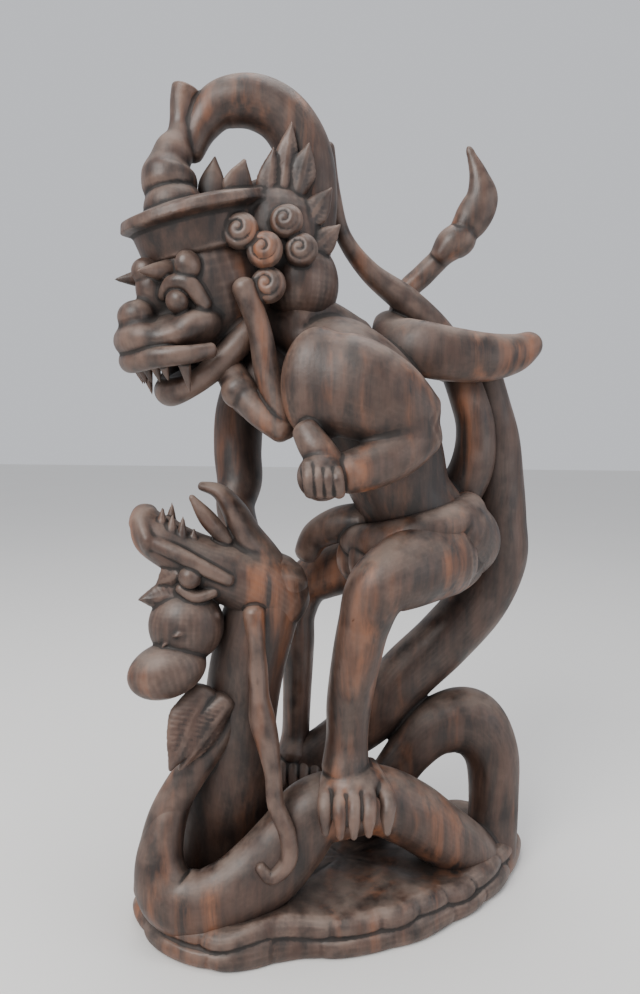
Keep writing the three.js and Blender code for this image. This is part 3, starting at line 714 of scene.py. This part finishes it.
def carve_serpent_head():
    steps = joined([tube(SKULL), tube(LOWER_JAW)], 3.0)
    steps += joined([tube(INNER_JAW, end=1.4), tube(NOSE_ROLL, side=RIGHT), tube(SERPENT_LIP)], 1.5)
    for number, (x, y, z) in enumerate(SERPENT_TEETH):
        steps.append(join(spike([x, y, z - 8], [x + 1, y, z + 7 - (number % 2) * 3], 4.2), 0.6))
    steps.append(join(ball([-106, -60, 260], [8, 8, 8]), 0.6))
    steps.append(join(tube([[-113, -56, 252, 4, 7], [-103, -56, 246, 5, 8], [-91, -54, 249, 4, 7]]), 1.0))
    for foot, tip, wide, thick in CREST:
        steps.append(join(leaf(foot, tip, wide, thick, [0.2, -1, 0], veins=0.8), 0.8))
    steps.append(join(ball([-111, -48, 224], [26, 22, 26]), 1.0))
    steps.append(join(ball(BUD_CENTRE, [27, 19, 19], axes=bud_axes()), 0.8))
    steps.append(join(leaf([-98, -50, 178], [-119, -70, 130], 17, 8, [0.5, -1, 0.45], belly=0.35, veins=0.8)))
    steps.append(join(leaf([-84, -50, 172], [-114, -64, 128], 14, 8, [0.9, -1, 0.3], belly=0.4, veins=0.8)))
    steps.append(join(tube(MANE), 1.5))
    steps.append(join(tube(RIBBON), 0.8))
    return steps


# The monkey's body

TORSO = [
    [76, 14, 262, 34, 42], [58, 11, 288, 36, 43], [43, 8, 310, 36, 42], [30, 5, 342, 41, 46],
    [12, 3, 376, 46, 50], [-12, 2, 406, 38, 50], [-36, 2, 424, 22, 32], [-60, 1, 436, 18, 22],
]
NEAR_ARM = [[-24, -44, 392, 29, 20], [-4, -54, 388, 34, 20], [22, -56, 378, 30, 19], [44, -48, 366, 22, 17]]
NEAR_FOREARM = [
    [46, -46, 358, 18, 17], [32, -54, 346, 18, 17], [14, -62, 336, 16, 15], [-2, -68, 331, 14, 14],
]
FAR_ARM = [
    [-72, 46, 404, 22, 20], [-84, 47, 372, 20, 20], [-86, 43, 342, 19, 19], [-84, 38, 318, 18, 18],
    [-86, 28, 297, 15, 16], [-78, 12, 274, 14, 15],
]
NEAR_LEG = [
    [70, -18, 270, 31, 26], [44, -40, 264, 28, 25], [20, -55, 252, 22, 21], [11, -54, 228, 18, 18],
    [6, -49, 200, 17, 17], [2, -43, 168, 16, 16], [1, -40, 142, 15, 16], [0, -42, 120, 17, 20],
]
FAR_LEG = [
    [52, 42, 264, 26, 24], [12, 56, 250, 24, 22], [-26, 64, 232, 20, 20], [-37, 64, 206, 15, 16],
    [-37, 63, 176, 13.5, 15], [-38, 64, 128, 12, 14], [-39, 64, 98, 12, 16], [-41, 58, 82, 14, 20],
]
TAIL = [
    [84, 34, 300, 18, 16], [98, 30, 330, 17, 16], [100, 28, 360, 15, 15], [92, 28, 388, 14, 14],
    [80, 30, 416, 13, 12], [66, 31, 437, 12, 11], [43, 30, 458, 11, 10], [16, 28, 478, 8, 8],
    [-4, 22, 502, 6, 7], [-13, 14, 530, 6, 7], [-18, 6, 560, 6, 7],
]
KNUCKLES = [[-14, -62, 108], [-4, -66, 108], [5, -67, 109], [15, -66, 110], [28, -60, 108]]


def carve_body():
    steps = joined([tube(TORSO, sides=60), tube(NEAR_ARM), tube(NEAR_FOREARM), tube(FAR_ARM)], 4.0)
    steps += joined([tube(NEAR_LEG), tube(FAR_LEG), tube(TAIL)], 4.0)
    steps.append(join(tube(WRAP, end=0.5), 1.5))
    steps.append(join(ball([-22, -52, 388], [25, 17, 38]), 4.0))
    steps.append(join(ball([-19, -74, 329], [16, 14, 16]), 2.0))
    steps.append(join(tube([[-30, -66, 358, 9, 8], [-22, -70, 346, 11, 9], [-12, -72, 336, 9, 8]]), 1.5))
    steps.append(join(tube([[-44, -14, 432, 13, 20], [-22, 8, 440, 14, 24], [4, 26, 432, 12, 22]]), 4.0))
    steps.append(join(ball([-60, 6, 392], [32, 40, 30]), 4.0))
    for finger in range(4):
        x = -28 + finger * 6
        nearer = [[x, -82, 336 - finger, 4, 4], [x + 1, -88, 328, 4, 4], [x + 2, -83, 319, 4, 4]]
        z = 284 - finger * 8
        farther = [[-84, 14, z, 4, 4], [-74, 2, z - 4, 4, 4], [-62, -2, z - 6, 4, 4]]
        steps.append(join(tube(nearer, side=RIGHT), 0.8))
        steps.append(join(tube(farther, side=UP), 0.8))
    for x, y, z in KNUCKLES:
        toe = [[x * 0.6, y + 24, z + 10, 7, 7], [x, y, z, 5.4, 5.6], [x, y - 7, z - 10, 5.2, 5], [x, y - 8, z - 19, 3, 3]]
        steps.append(join(tube(toe, side=RIGHT, end=1.6), 0.8))
    steps.append(join(ball([4, -48, 112], [22, 20, 14]), 2.0))
    for number in range(5):
        x = -58 + number * 9
        toe = [[x * 0.8 - 6, 58, 82, 7, 7], [x, 42, 78, 5.5, 5.5], [x, 34, 68, 3.5, 3.5]]
        steps.append(join(tube(toe, side=RIGHT), 0.8))
    return steps


HIPS_CENTRE = [50, 11, 288]
SASH = [[52, -52, 300, 9, 6], [54, -62, 280, 11, 6], [58, -62, 240, 11, 5.5], [61, -60, 200, 10, 5], [65, -55, 164, 5, 4]]


def carve_loincloth():
    steps = []
    hips = []
    for number in range(21):
        turn = 2 * np.pi * number / 20
        hips.append([50 + 42 * np.cos(turn), 11 + 45 * np.sin(turn), 288 + 12 * np.cos(turn), 13, 13])
    steps.append(join(tube(hips, side=UP), 1.0))
    for x, y, z, _, _ in hips[:-1:2]:
        steps.append(join(ball([x, y, z - 14], [15, 12, 20]), 1.0))
    steps.append(join(tube([[80, -14, 288, 24, 24], [90, 10, 276, 27, 28], [86, 30, 260, 24, 24]]), 2.0))
    steps.append(join(tube([[-30, 30, 262, 10, 12], [-22, 28, 276, 12, 14], [-4, 20, 286, 14, 18], [16, 12, 290, 14, 20]]), 1.0))
    steps.append(join(tube(SASH), 0.6))
    return steps


# The head: forward along the face, outward to the near cheek, upward through the crown

HEAD_CENTRE = np.array([-92.0, -2.0, 455.0])
FORWARD = unit([-0.75, -0.585, -0.31])
OUTWARD = unit([0.616, -0.788, 0.0])
CROWNWARD = unit(np.cross(FORWARD, OUTWARD))
HEAD_AXES = (FORWARD, OUTWARD, CROWNWARD)


def in_head(a, b, c):
    return HEAD_CENTRE + FORWARD * a + OUTWARD * b + CROWNWARD * c


def head_rows(stations):
    return [[*in_head(*row[:3]), *row[3:]] for row in stations]


def both_ways(stations):
    """Stations that end in the middle of the face, carried on across it as their own mirror image."""
    return stations + [[row[0], -row[1], *row[2:]] for row in stations[-2::-1]]


def head_ball(a, b, c, radii):
    return ball(in_head(a, b, c), radii, axes=HEAD_AXES)


def carve_mask():
    steps = joined([
        head_ball(6, 0, 6, [48, 44, 46]), head_ball(44, 0, -18, [40, 38, 15]),
        head_ball(75, 0, -15, [13, 22, 12]), head_ball(70, 0, 0, [12, 13, 10]), head_ball(50, 0, 12, [14, 12, 18]),
        head_ball(8, 0, -24, [32, 34, 24]),
    ], 5.0)
    lip = [[44, 41, -33, 4, 5], [58, 37, -32, 5, 6], [74, 24, -29, 6, 7], [82, 0, -28, 6, 8]]
    jaw = [[8, 34, -28, 12, 10], [32, 30, -42, 10, 9], [52, 20, -52, 9, 8], [62, 0, -55, 9, 10]]
    steps.append(join(tube(head_rows(both_ways(lip)), side=CROWNWARD), 1.5))
    steps.append(join(tube(head_rows(both_ways(jaw)), side=CROWNWARD), 2.0))
    steps.append(join(head_ball(34, 0, -50, [28, 24, 8]), 2.0))
    for number in range(6):
        b = (number - 2.5) * 8
        a = 76 - abs(b) * 0.28
        steps.append(join(spike(in_head(a, b, -30), in_head(a, b, -46), 4.6), 0.5))
    for s in (1, -1):
        steps.append(join(spike(in_head(60, 30 * s, -30), in_head(62, 29 * s, -56), 5.5), 0.5))
        steps.append(join(head_ball(50, 24 * s, 2, [7, 9, 8]), 0.6))
        brow = [[52, 12 * s, 8, 4, 4], [49, 22 * s, 14, 5, 5], [42, 31 * s, 11, 6, 6], [36, 34 * s, -4, 5, 5]]
        steps.append(join(tube(head_rows(brow), side=CROWNWARD), 1.0))
        steps.append(join(head_ball(42, 28 * s, -14, [17, 12, 9]), 3.0))
        steps.append(join(head_ball(38, 30 * s, 22, [9, 8, 10]), 0.8))
        steps.append(join(spike(in_head(44, 14 * s, 22), in_head(68, 18 * s, 26), 8), 1.0))
    steps.append(join(head_ball(54, 0, 26, [9, 10, 9]), 1.0))
    return steps


# Crown and hair

BRIM = [[26, 38], [30, 44], [44, 46], [50, 47], [54, 54], [60, 52], [64, 34]]
BUN = [
    [-120, -22, 500, 18, 18], [-122, -23, 509, 22, 21], [-124, -22, 518, 18, 18], [-125, -22, 524, 20, 19],
    [-126, -21, 532, 19, 18], [-125, -20, 540, 14, 14], [-122, -18, 549, 13, 13], [-119, -16, 558, 9.5, 9.5],
    [-118, -14, 568, 8.5, 8.5], [-117, -14, 582, 9, 9], [-115, -14, 590, 10, 10],
]
ARCH = [
    [-112, -12, 550, 9, 9], [-105, -11, 567, 12, 12], [-92, -9, 582, 16, 14], [-70, -6, 586, 18, 16],
    [-49, -3, 577, 19, 17], [-35, 0, 556, 20, 18], [-32, 2, 530, 22, 20], [-36, 4, 502, 25, 24],
    [-44, 5, 474, 26, 28],
]
TUFTS = [
    [[-58, -24, 508], [-54, -26, 548], 10], [[-48, -22, 522], [-42, -22, 566], 9],
    [[-38, -20, 520], [-30, -24, 552], 10], [[-34, -22, 496], [-14, -20, 524], 10],
    [[-30, -22, 478], [-8, -18, 500], 10],
]
SCROLLS = [
    [-74, -42, 488, 12], [-58, -42, 476, 12], [-56, -38, 454, 12], [-44, -36, 496, 11], [-34, -34, 478, 11],
]
STRAP = [
    [-72, -46, 452, 8, 8], [-62, -44, 426, 8, 8], [-56, -44, 396, 9, 8], [-48, -46, 372, 8, 8], [-42, -46, 356, 5, 5],
]
SCARF = [[-88, -22, 408, 10, 12], [-78, -34, 390, 11, 12], [-64, -42, 372, 10, 11], [-46, -46, 358, 9, 10]]


def carve_headdress():
    turn = 2 * np.pi * np.arange(96) / 96
    rings = []
    for c, reach in BRIM:
        ring = [in_head(4 + reach * math.cos(t), reach * 0.97 * math.sin(t), c) for t in turn]
        rings.append(ring)
    steps = [join(skin(np.array(rings), in_head(4, 0, 26), in_head(4, 0, 66)), 1.0)]
    steps.append(join(leaf(in_head(-10, 30, 56), in_head(-22, 36, 80), 12, 6, OUTWARD, belly=0.3), 1.0))
    steps.append(join(leaf(in_head(-14, -30, 56), in_head(-26, -36, 78), 12, 6, OUTWARD, belly=0.3), 1.0))
    steps.append(join(tube(BUN, side=RIGHT, end=0.3), 1.0))
    steps.append(join(leaf([-100, -10, 512], [-96, -8, 548], 10, 6, [0, -1, 0]), 0.8))
    steps.append(join(tube(ARCH), 2.0))
    steps.append(join(ball([-56, 0, 492], [40, 40, 44]), 3.0))
    steps.append(join(ball([-36, -2, 462], [28, 36, 32]), 3.0))
    for foot, tip, wide in TUFTS:
        steps.append(join(leaf(foot, tip, wide, 7, [0.2, -1, 0], veins=0.6), 0.8))
    for x, y, z, radius in SCROLLS:
        steps.append(join(volute([x, y - 3, z], [-0.2, -1, 0.1], UP, radius, 9), 0.8))
    steps.append(join(tube(STRAP), 1.0))
    steps.append(join(tube(SCARF), 1.0))
    steps.append(join(ball([-76, -40, 384], [12, 10, 12]), 1.0))
    return steps


# The finish: streaked ebony, rubbed on its edges, dusty on what faces up, and darkened with painted shade and grime in
# its cuts, hollows and the places between forms


def node_maker(tree):
    """A short way to add nodes to a tree: make(kind, inputs, settings) gives the node."""

    def make(kind, inputs=None, **settings):
        node = tree.nodes.new(kind)
        for key, value in settings.items():
            setattr(node, key, value)
        for key, value in (inputs or {}).items():
            if isinstance(value, bpy.types.NodeSocket):
                tree.links.new(value, node.inputs[key])
            else:
                node.inputs[key].default_value = value
        return node

    return make


def new_group(name, inputs, outputs):
    """An empty shader group with named sockets; inputs are (name, kind, default)."""
    group = bpy.data.node_groups.new(name, "ShaderNodeTree")
    for label, kind, value in inputs:
        socket = group.interface.new_socket(label, in_out="INPUT", socket_type=kind)
        socket.default_value = value
    for label, kind in outputs:
        group.interface.new_socket(label, in_out="OUTPUT", socket_type=kind)
    return group, group.nodes.new("NodeGroupInput").outputs, group.nodes.new("NodeGroupOutput").inputs


def ramp_stops(node, stops):
    """Sets a colour ramp's stops from (place, colour) pairs."""
    elements = node.color_ramp.elements
    while len(elements) > 1:
        elements.remove(elements[-1])
    elements[0].position, elements[0].color = stops[0]
    for place, colour in stops[1:]:
        element = elements.new(place)
        element.color = colour


def streaks_group():
    """Growth streaks that run up the block: a dark ground, brown bands and a few orange ones."""
    if "Ebony streaks" in bpy.data.node_groups:
        return bpy.data.node_groups["Ebony streaks"]
    inputs = [
        ("Dark", "NodeSocketColor", (0.02, 0.012, 0.008, 1)),
        ("Brown", "NodeSocketColor", (0.06, 0.03, 0.02, 1)),
        ("Orange", "NodeSocketColor", (0.2, 0.07, 0.025, 1)),
        ("Orange share", "NodeSocketFloat", 0.5),
    ]
    group, given, out = new_group("Ebony streaks", inputs, [("Colour", "NodeSocketColor"), ("Grain", "NodeSocketFloat")])
    make = node_maker(group)
    place = make("ShaderNodeTexCoord").outputs["Object"]
    wander = make("ShaderNodeTexNoise", {"Vector": place, "Scale": 9.0, "Detail": 2.0})
    shift = make("ShaderNodeVectorMath", {0: wander.outputs["Color"], 1: (0.02, 0.02, 0.0)}, operation="MULTIPLY")
    bent = make("ShaderNodeVectorMath", {0: place, 1: shift.outputs[0]}, operation="ADD")
    long_way = make("ShaderNodeMapping", {"Vector": bent.outputs[0], "Scale": (1.0, 1.0, 0.085)})
    bands = make("ShaderNodeTexNoise", {"Vector": long_way.outputs[0], "Scale": 95.0, "Detail": 4.0, "Roughness": 0.62})
    patches = make("ShaderNodeTexNoise", {"Vector": long_way.outputs[0], "Scale": 34.0, "Detail": 3.0, "Roughness": 0.6})
    fine_way = make("ShaderNodeMapping", {"Vector": bent.outputs[0], "Scale": (1.0, 1.0, 0.03)})
    pores = make("ShaderNodeTexNoise", {"Vector": fine_way.outputs[0], "Scale": 900.0, "Detail": 2.0})
    brown = make("ShaderNodeMapRange", {"Value": bands.outputs["Fac"], "From Min": 0.38, "From Max": 0.62})
    ground = make("ShaderNodeMix", {"Factor": brown.outputs[0], "A": given["Dark"], "B": given["Brown"]}, data_type="RGBA")
    high = make("ShaderNodeMapRange", {"Value": patches.outputs["Fac"], "From Min": 0.52, "From Max": 0.66})
    both = make("ShaderNodeMath", {0: high.outputs[0], 1: brown.outputs[0]}, operation="MULTIPLY")
    share = make("ShaderNodeMath", {0: both.outputs[0], 1: given["Orange share"]}, operation="MULTIPLY")
    lit = make("ShaderNodeMix", {"Factor": share.outputs[0], "A": ground.outputs["Result"], "B": given["Orange"]}, data_type="RGBA")
    group.links.new(lit.outputs["Result"], out["Colour"])
    group.links.new(pores.outputs["Fac"], out["Grain"])
    return group


def wear_group():
    """Where hands have rubbed the crests, and where painted shade with some grime darkens the hollows, cuts and places
    between forms, from the marks on the points.
    """
    if "Wear, grime and painted shade" in bpy.data.node_groups:
        return bpy.data.node_groups["Wear, grime and painted shade"]
    inputs = [("Rub", "NodeSocketFloat", 0.5), ("Shade and grime", "NodeSocketFloat", 0.8), ("Dust", "NodeSocketFloat", 0.6)]
    outputs = [("Rubbed", "NodeSocketFloat"), ("Shaded and grimy", "NodeSocketFloat"), ("Dusty", "NodeSocketFloat")]
    group, given, out = new_group("Wear, grime and painted shade", inputs, outputs)
    make = node_maker(group)

    def mark(name):
        return make("ShaderNodeAttribute", attribute_name=name, attribute_type="GEOMETRY").outputs["Fac"]

    def ranged(value, low, high):
        return make("ShaderNodeMapRange", {"Value": value, "From Min": low, "From Max": high}).outputs[0]

    def times(a, b):
        return make("ShaderNodeMath", {0: a, 1: b}, operation="MULTIPLY").outputs[0]

    def most(a, b):
        return make("ShaderNodeMath", {0: a, 1: b}, operation="MAXIMUM").outputs[0]

    def without(a):
        return make("ShaderNodeMath", {0: 1.0, 1: a}, operation="SUBTRACT").outputs[0]

    place = make("ShaderNodeTexCoord").outputs["Object"]
    uneven = make("ShaderNodeTexNoise", {"Vector": place, "Scale": 60.0, "Detail": 4.0}).outputs["Fac"]
    crest = most(ranged(mark("hollow"), -0.02, -0.14), ranged(mark("dip"), -0.2, -1.1))
    rubbed = times(times(crest, ranged(uneven, 0.35, 0.6)), given["Rub"])
    # Painted shade: hollows, dips, cuts and places sheltered between forms are darkened, with some grime
    deep = most(ranged(mark("hollow"), 0.02, 0.16), ranged(mark("dip"), 0.25, 1.4))
    shaded_and_grimy = times(most(most(deep, mark("cuts")), times(mark("shelter"), 0.75)), given["Shade and grime"])
    facing = make("ShaderNodeSeparateXYZ", {0: make("ShaderNodeNewGeometry").outputs["Normal"]}).outputs["Z"]
    upward = ranged(facing, 0.25, 0.95)
    open_air = without(times(mark("shelter"), 0.8))
    dusty = times(times(upward, ranged(uneven, 0.3, 0.62)), times(open_air, given["Dust"]))
    group.links.new(rubbed, out["Rubbed"])
    group.links.new(shaded_and_grimy, out["Shaded and grimy"])
    group.links.new(dusty, out["Dusty"])
    return group


def wood(name, dust=None):
    """The streaked ebony finish; dust overrides how much of it lies on upward faces."""
    if name in bpy.data.materials:
        return bpy.data.materials[name]
    colours = bpy.context.scene.carving_colours
    material = bpy.data.materials.new(name)
    material.use_nodes = True
    tree = material.node_tree
    make = node_maker(tree)
    shader = tree.nodes["Principled BSDF"]
    streaks = make("ShaderNodeGroup", node_tree=streaks_group())
    streaks.inputs["Dark"].default_value = (*colours.dark, 1)
    streaks.inputs["Brown"].default_value = (*colours.brown, 1)
    streaks.inputs["Orange"].default_value = (*colours.orange, 1)
    streaks.inputs["Orange share"].default_value = colours.orange_share
    wear = make("ShaderNodeGroup", node_tree=wear_group())
    wear.inputs["Rub"].default_value = colours.rub
    wear.inputs["Shade and grime"].default_value = colours.shade_and_grime
    wear.inputs["Dust"].default_value = colours.dust if dust is None else dust
    rub = make(
        "ShaderNodeMix",
        {"Factor": wear.outputs["Rubbed"], "A": streaks.outputs["Colour"], "B": (*colours.rubbed, 1)},
        data_type="RGBA",
    )
    dusted = make(
        "ShaderNodeMix",
        {"Factor": wear.outputs["Dusty"], "A": rub.outputs["Result"], "B": (*colours.dust_tint, 1)},
        data_type="RGBA",
    )
    # Painted shade with some grime: the near-black tint goes into hollows, cuts and places between forms
    shaded_and_grimed = make(
        "ShaderNodeMix",
        {"Factor": wear.outputs["Shaded and grimy"], "A": dusted.outputs["Result"], "B": (*colours.shade_and_grime_tint, 1)},
        data_type="RGBA",
    )
    tree.links.new(shaded_and_grimed.outputs["Result"], shader.inputs["Base Color"])
    place = make("ShaderNodeTexCoord").outputs["Object"]
    smudge = make("ShaderNodeTexNoise", {"Vector": place, "Scale": 45.0, "Detail": 3.0})
    gloss = make("ShaderNodeMapRange", {"Value": smudge.outputs["Fac"], "From Min": 0.3, "From Max": 0.7, "To Min": 0.34, "To Max": 0.56})
    matt = make("ShaderNodeMath", {0: wear.outputs["Dusty"], 1: wear.outputs["Shaded and grimy"]}, operation="MAXIMUM")
    rough = make("ShaderNodeMath", {0: matt.outputs[0], 1: 0.3, 2: gloss.outputs[0]}, operation="MULTIPLY_ADD")
    tree.links.new(rough.outputs[0], shader.inputs["Roughness"])
    tool = make("ShaderNodeTexNoise", {"Vector": place, "Scale": 260.0, "Detail": 3.0})
    height = make("ShaderNodeMath", {0: streaks.outputs["Grain"], 1: 0.35, 2: tool.outputs["Fac"]}, operation="MULTIPLY_ADD")
    bump = make("ShaderNodeBump", {"Height": height.outputs[0], "Strength": 0.35, "Distance": 0.0004})
    tree.links.new(bump.outputs[0], shader.inputs["Normal"])
    return material


# Stage


def make_stage():
    colours = bpy.context.scene.carving_colours
    scene = bpy.context.scene
    paint = bpy.data.materials.new("pale_floor")
    paint.use_nodes = True
    make = node_maker(paint.node_tree)
    shader = paint.node_tree.nodes["Principled BSDF"]
    place = make("ShaderNodeTexCoord").outputs["Object"]
    cloud = make("ShaderNodeTexNoise", {"Vector": place, "Scale": 3.0, "Detail": 2.0})
    low = tuple(0.97 * c for c in colours.floor)
    mix = make("ShaderNodeMix", {"Factor": cloud.outputs["Fac"], "A": (*colours.floor, 1), "B": (*low, 1)}, data_type="RGBA")
    paint.node_tree.links.new(mix.outputs["Result"], shader.inputs["Base Color"])
    shader.inputs["Roughness"].default_value = 0.8
    mesh = bpy.data.meshes.new("floor")
    reach = 6.0
    mesh.from_pydata([(-reach, -reach, 0), (reach, -reach, 0), (reach, reach, 0), (-reach, reach, 0)], [], [(0, 1, 2, 3)])
    floor = bpy.data.objects.new("floor", mesh)
    scene.collection.objects.link(floor)
    mesh.materials.append(paint)

    world = scene.world or bpy.data.worlds.new("Studio")
    scene.world = world
    world.use_nodes = True
    world.node_tree.nodes["Background"].inputs["Color"].default_value = (0.93, 0.95, 1.0, 1)
    world.node_tree.nodes["Background"].inputs["Strength"].default_value = 0.75

    lamps = [
        ("window", (-0.75, -1.0, 1.25), (-0.02, 0.0, 0.32), 0.9, 26.0, (1.0, 0.98, 0.95)),
        ("top", (0.1, 0.1, 1.6), (0.0, 0.0, 0.3), 0.9, 9.0, (1.0, 1.0, 1.0)),
        ("fill", (1.1, -0.7, 0.6), (0.0, 0.0, 0.3), 1.1, 5.0, (0.95, 0.97, 1.0)),
    ]
    for name, at, aim, size, power, tint in lamps:
        data = bpy.data.lights.new(name, "AREA")
        data.size = size
        data.energy = power
        data.color = tint
        lamp = bpy.data.objects.new(name, data)
        scene.collection.objects.link(lamp)
        lamp.location = at
        away = unit(np.array(at) - np.array(aim))
        side = unit(np.cross(UP, away))
        top = np.cross(away, side)
        lamp.matrix_world = Matrix(
            [[side[i], top[i], away[i], at[i]] for i in range(3)] + [[0, 0, 0, 1]]
        )

    data = bpy.data.cameras.new("camera")
    data.sensor_fit = "AUTO"
    data.sensor_width = SENSOR_MM
    data.lens = LENS_PIXELS * SENSOR_MM / PICTURE_HEIGHT
    data.clip_start = 0.01
    camera = bpy.data.objects.new("camera", data)
    scene.collection.objects.link(camera)
    right, down, ahead = lens_axes()
    at = (LENS_AT + TO_MIDDLE) * MM
    camera.matrix_world = Matrix(
        [[right[i], -down[i], -ahead[i], at[i]] for i in range(3)] + [[0, 0, 0, 1]]
    )
    scene.camera = camera


# What a user may change


class CarvingSizes(bpy.types.PropertyGroup):
    cell: bpy.props.FloatProperty(
        name="Finest cut", description="Spacing of the grid that the wood is carved on, in millimetres", default=1.1
    )


class CarvingColours(bpy.types.PropertyGroup):
    dark: bpy.props.FloatVectorProperty(
        name="Dark wood", description="Ground colour of the ebony", subtype="COLOR", default=(0.017, 0.010, 0.008)
    )
    brown: bpy.props.FloatVectorProperty(
        name="Brown wood", description="Lighter bands in the ebony", subtype="COLOR", default=(0.062, 0.031, 0.021)
    )
    orange: bpy.props.FloatVectorProperty(
        name="Orange streaks", description="The few orange streaks", subtype="COLOR", default=(0.30, 0.105, 0.04)
    )
    orange_share: bpy.props.FloatProperty(
        name="Orange share", description="How strong the orange streaks are", default=0.6, subtype="FACTOR"
    )
    rubbed: bpy.props.FloatVectorProperty(
        name="Rubbed crests", description="Colour of worn edges", subtype="COLOR", default=(0.20, 0.13, 0.10)
    )
    rub: bpy.props.FloatProperty(name="Rub", description="How worn the crests are", default=0.5, subtype="FACTOR")
    # Near-black painted shade, with some grime, for hollows, cuts and places between forms
    shade_and_grime_tint: bpy.props.FloatVectorProperty(
        name="Shade and grime", description="Colour of the painted shade and grime in cuts, hollows and between forms", subtype="COLOR", default=(0.007, 0.005, 0.004)
    )
    shade_and_grime: bpy.props.FloatProperty(
        name="Grime share", description="How strong the painted shade and grime are in cuts, hollows and between forms", default=0.85, subtype="FACTOR"
    )
    dust_tint: bpy.props.FloatVectorProperty(
        name="Dust", description="Colour of the dust", subtype="COLOR", default=(0.26, 0.20, 0.165)
    )
    dust: bpy.props.FloatProperty(
        name="Dust share", description="How much dust lies on upward faces", default=0.6, subtype="FACTOR"
    )
    floor: bpy.props.FloatVectorProperty(
        name="Floor", description="Colour of the plain floor", subtype="COLOR", default=(0.80, 0.79, 0.77)
    )


# One operator for each piece


class CARVING_OT_base(bpy.types.Operator):
    """Carve the rocky base"""

    bl_idname = "carving.base"
    bl_label = "Rocky base"

    def execute(self, context):
        build_piece("rocky_base", carve_base(), nothing_fine, 90000)
        return {"FINISHED"}


class CARVING_OT_coils(bpy.types.Operator):
    """Carve the serpent's body"""

    bl_idname = "carving.coils"
    bl_label = "Serpent coils"

    def execute(self, context):
        build_piece("serpent_coils", carve_coils(), nothing_fine, 180000)
        return {"FINISHED"}


class CARVING_OT_serpent_head(bpy.types.Operator):
    """Carve the serpent's head, crest and mane"""

    bl_idname = "carving.serpent_head"
    bl_label = "Serpent head"

    def execute(self, context):
        build_piece("serpent_head", carve_serpent_head(), nothing_fine, 180000)
        return {"FINISHED"}


class CARVING_OT_body(bpy.types.Operator):
    """Carve the monkey's body, limbs and tail"""

    bl_idname = "carving.body"
    bl_label = "Monkey body"

    def execute(self, context):
        build_piece("monkey_body", carve_body(), nothing_fine, 190000)
        return {"FINISHED"}


class CARVING_OT_loincloth(bpy.types.Operator):
    """Carve the loincloth and its hanging sash"""

    bl_idname = "carving.loincloth"
    bl_label = "Loincloth"

    def execute(self, context):
        build_piece("loincloth", carve_loincloth(), nothing_fine, 90000)
        return {"FINISHED"}


class CARVING_OT_mask(bpy.types.Operator):
    """Carve the monkey's face"""

    bl_idname = "carving.mask"
    bl_label = "Monkey face"

    def execute(self, context):
        build_piece("monkey_face", carve_mask(), nothing_fine, 130000)
        return {"FINISHED"}


class CARVING_OT_headdress(bpy.types.Operator):
    """Carve the crown, the topknot and the arched hair"""

    bl_idname = "carving.headdress"
    bl_label = "Crown and hair"

    def execute(self, context):
        build_piece("crown_and_hair", carve_headdress(), nothing_fine, 150000)
        return {"FINISHED"}


class CARVING_OT_stage(bpy.types.Operator):
    """Lay the floor and set the lights and the camera"""

    bl_idname = "carving.stage"
    bl_label = "Stage"

    def execute(self, context):
        make_stage()
        return {"FINISHED"}


OPERATORS = (
    CARVING_OT_stage,
    CARVING_OT_base,
    CARVING_OT_coils,
    CARVING_OT_serpent_head,
    CARVING_OT_body,
    CARVING_OT_loincloth,
    CARVING_OT_mask,
    CARVING_OT_headdress,
)


class CARVING_PT_panel(bpy.types.Panel):
    """Lists the pieces of the carving"""

    bl_label = "Carved monkey warrior"
    bl_idname = "CARVING_PT_panel"
    bl_space_type = "VIEW_3D"
    bl_region_type = "UI"
    bl_category = "Carving"

    def draw(self, context):
        for operator in OPERATORS:
            self.layout.operator(operator.bl_idname)
        for group in (context.scene.carving_sizes, context.scene.carving_colours):
            for name in group.__annotations__:
                self.layout.prop(group, name)


CLASSES = (CarvingSizes, CarvingColours, *OPERATORS, CARVING_PT_panel)


def register():
    for made in CLASSES:
        bpy.utils.register_class(made)
    bpy.types.Scene.carving_sizes = bpy.props.PointerProperty(type=CarvingSizes)
    bpy.types.Scene.carving_colours = bpy.props.PointerProperty(type=CarvingColours)


def unregister():
    del bpy.types.Scene.carving_sizes
    del bpy.types.Scene.carving_colours
    for made in reversed(CLASSES):
        bpy.utils.unregister_class(made)


def main():
    register()
    for operator in OPERATORS:
        group, action = operator.bl_idname.split(".")
        getattr(getattr(bpy.ops, group), action)()


if __name__ == "__main__":
    main()
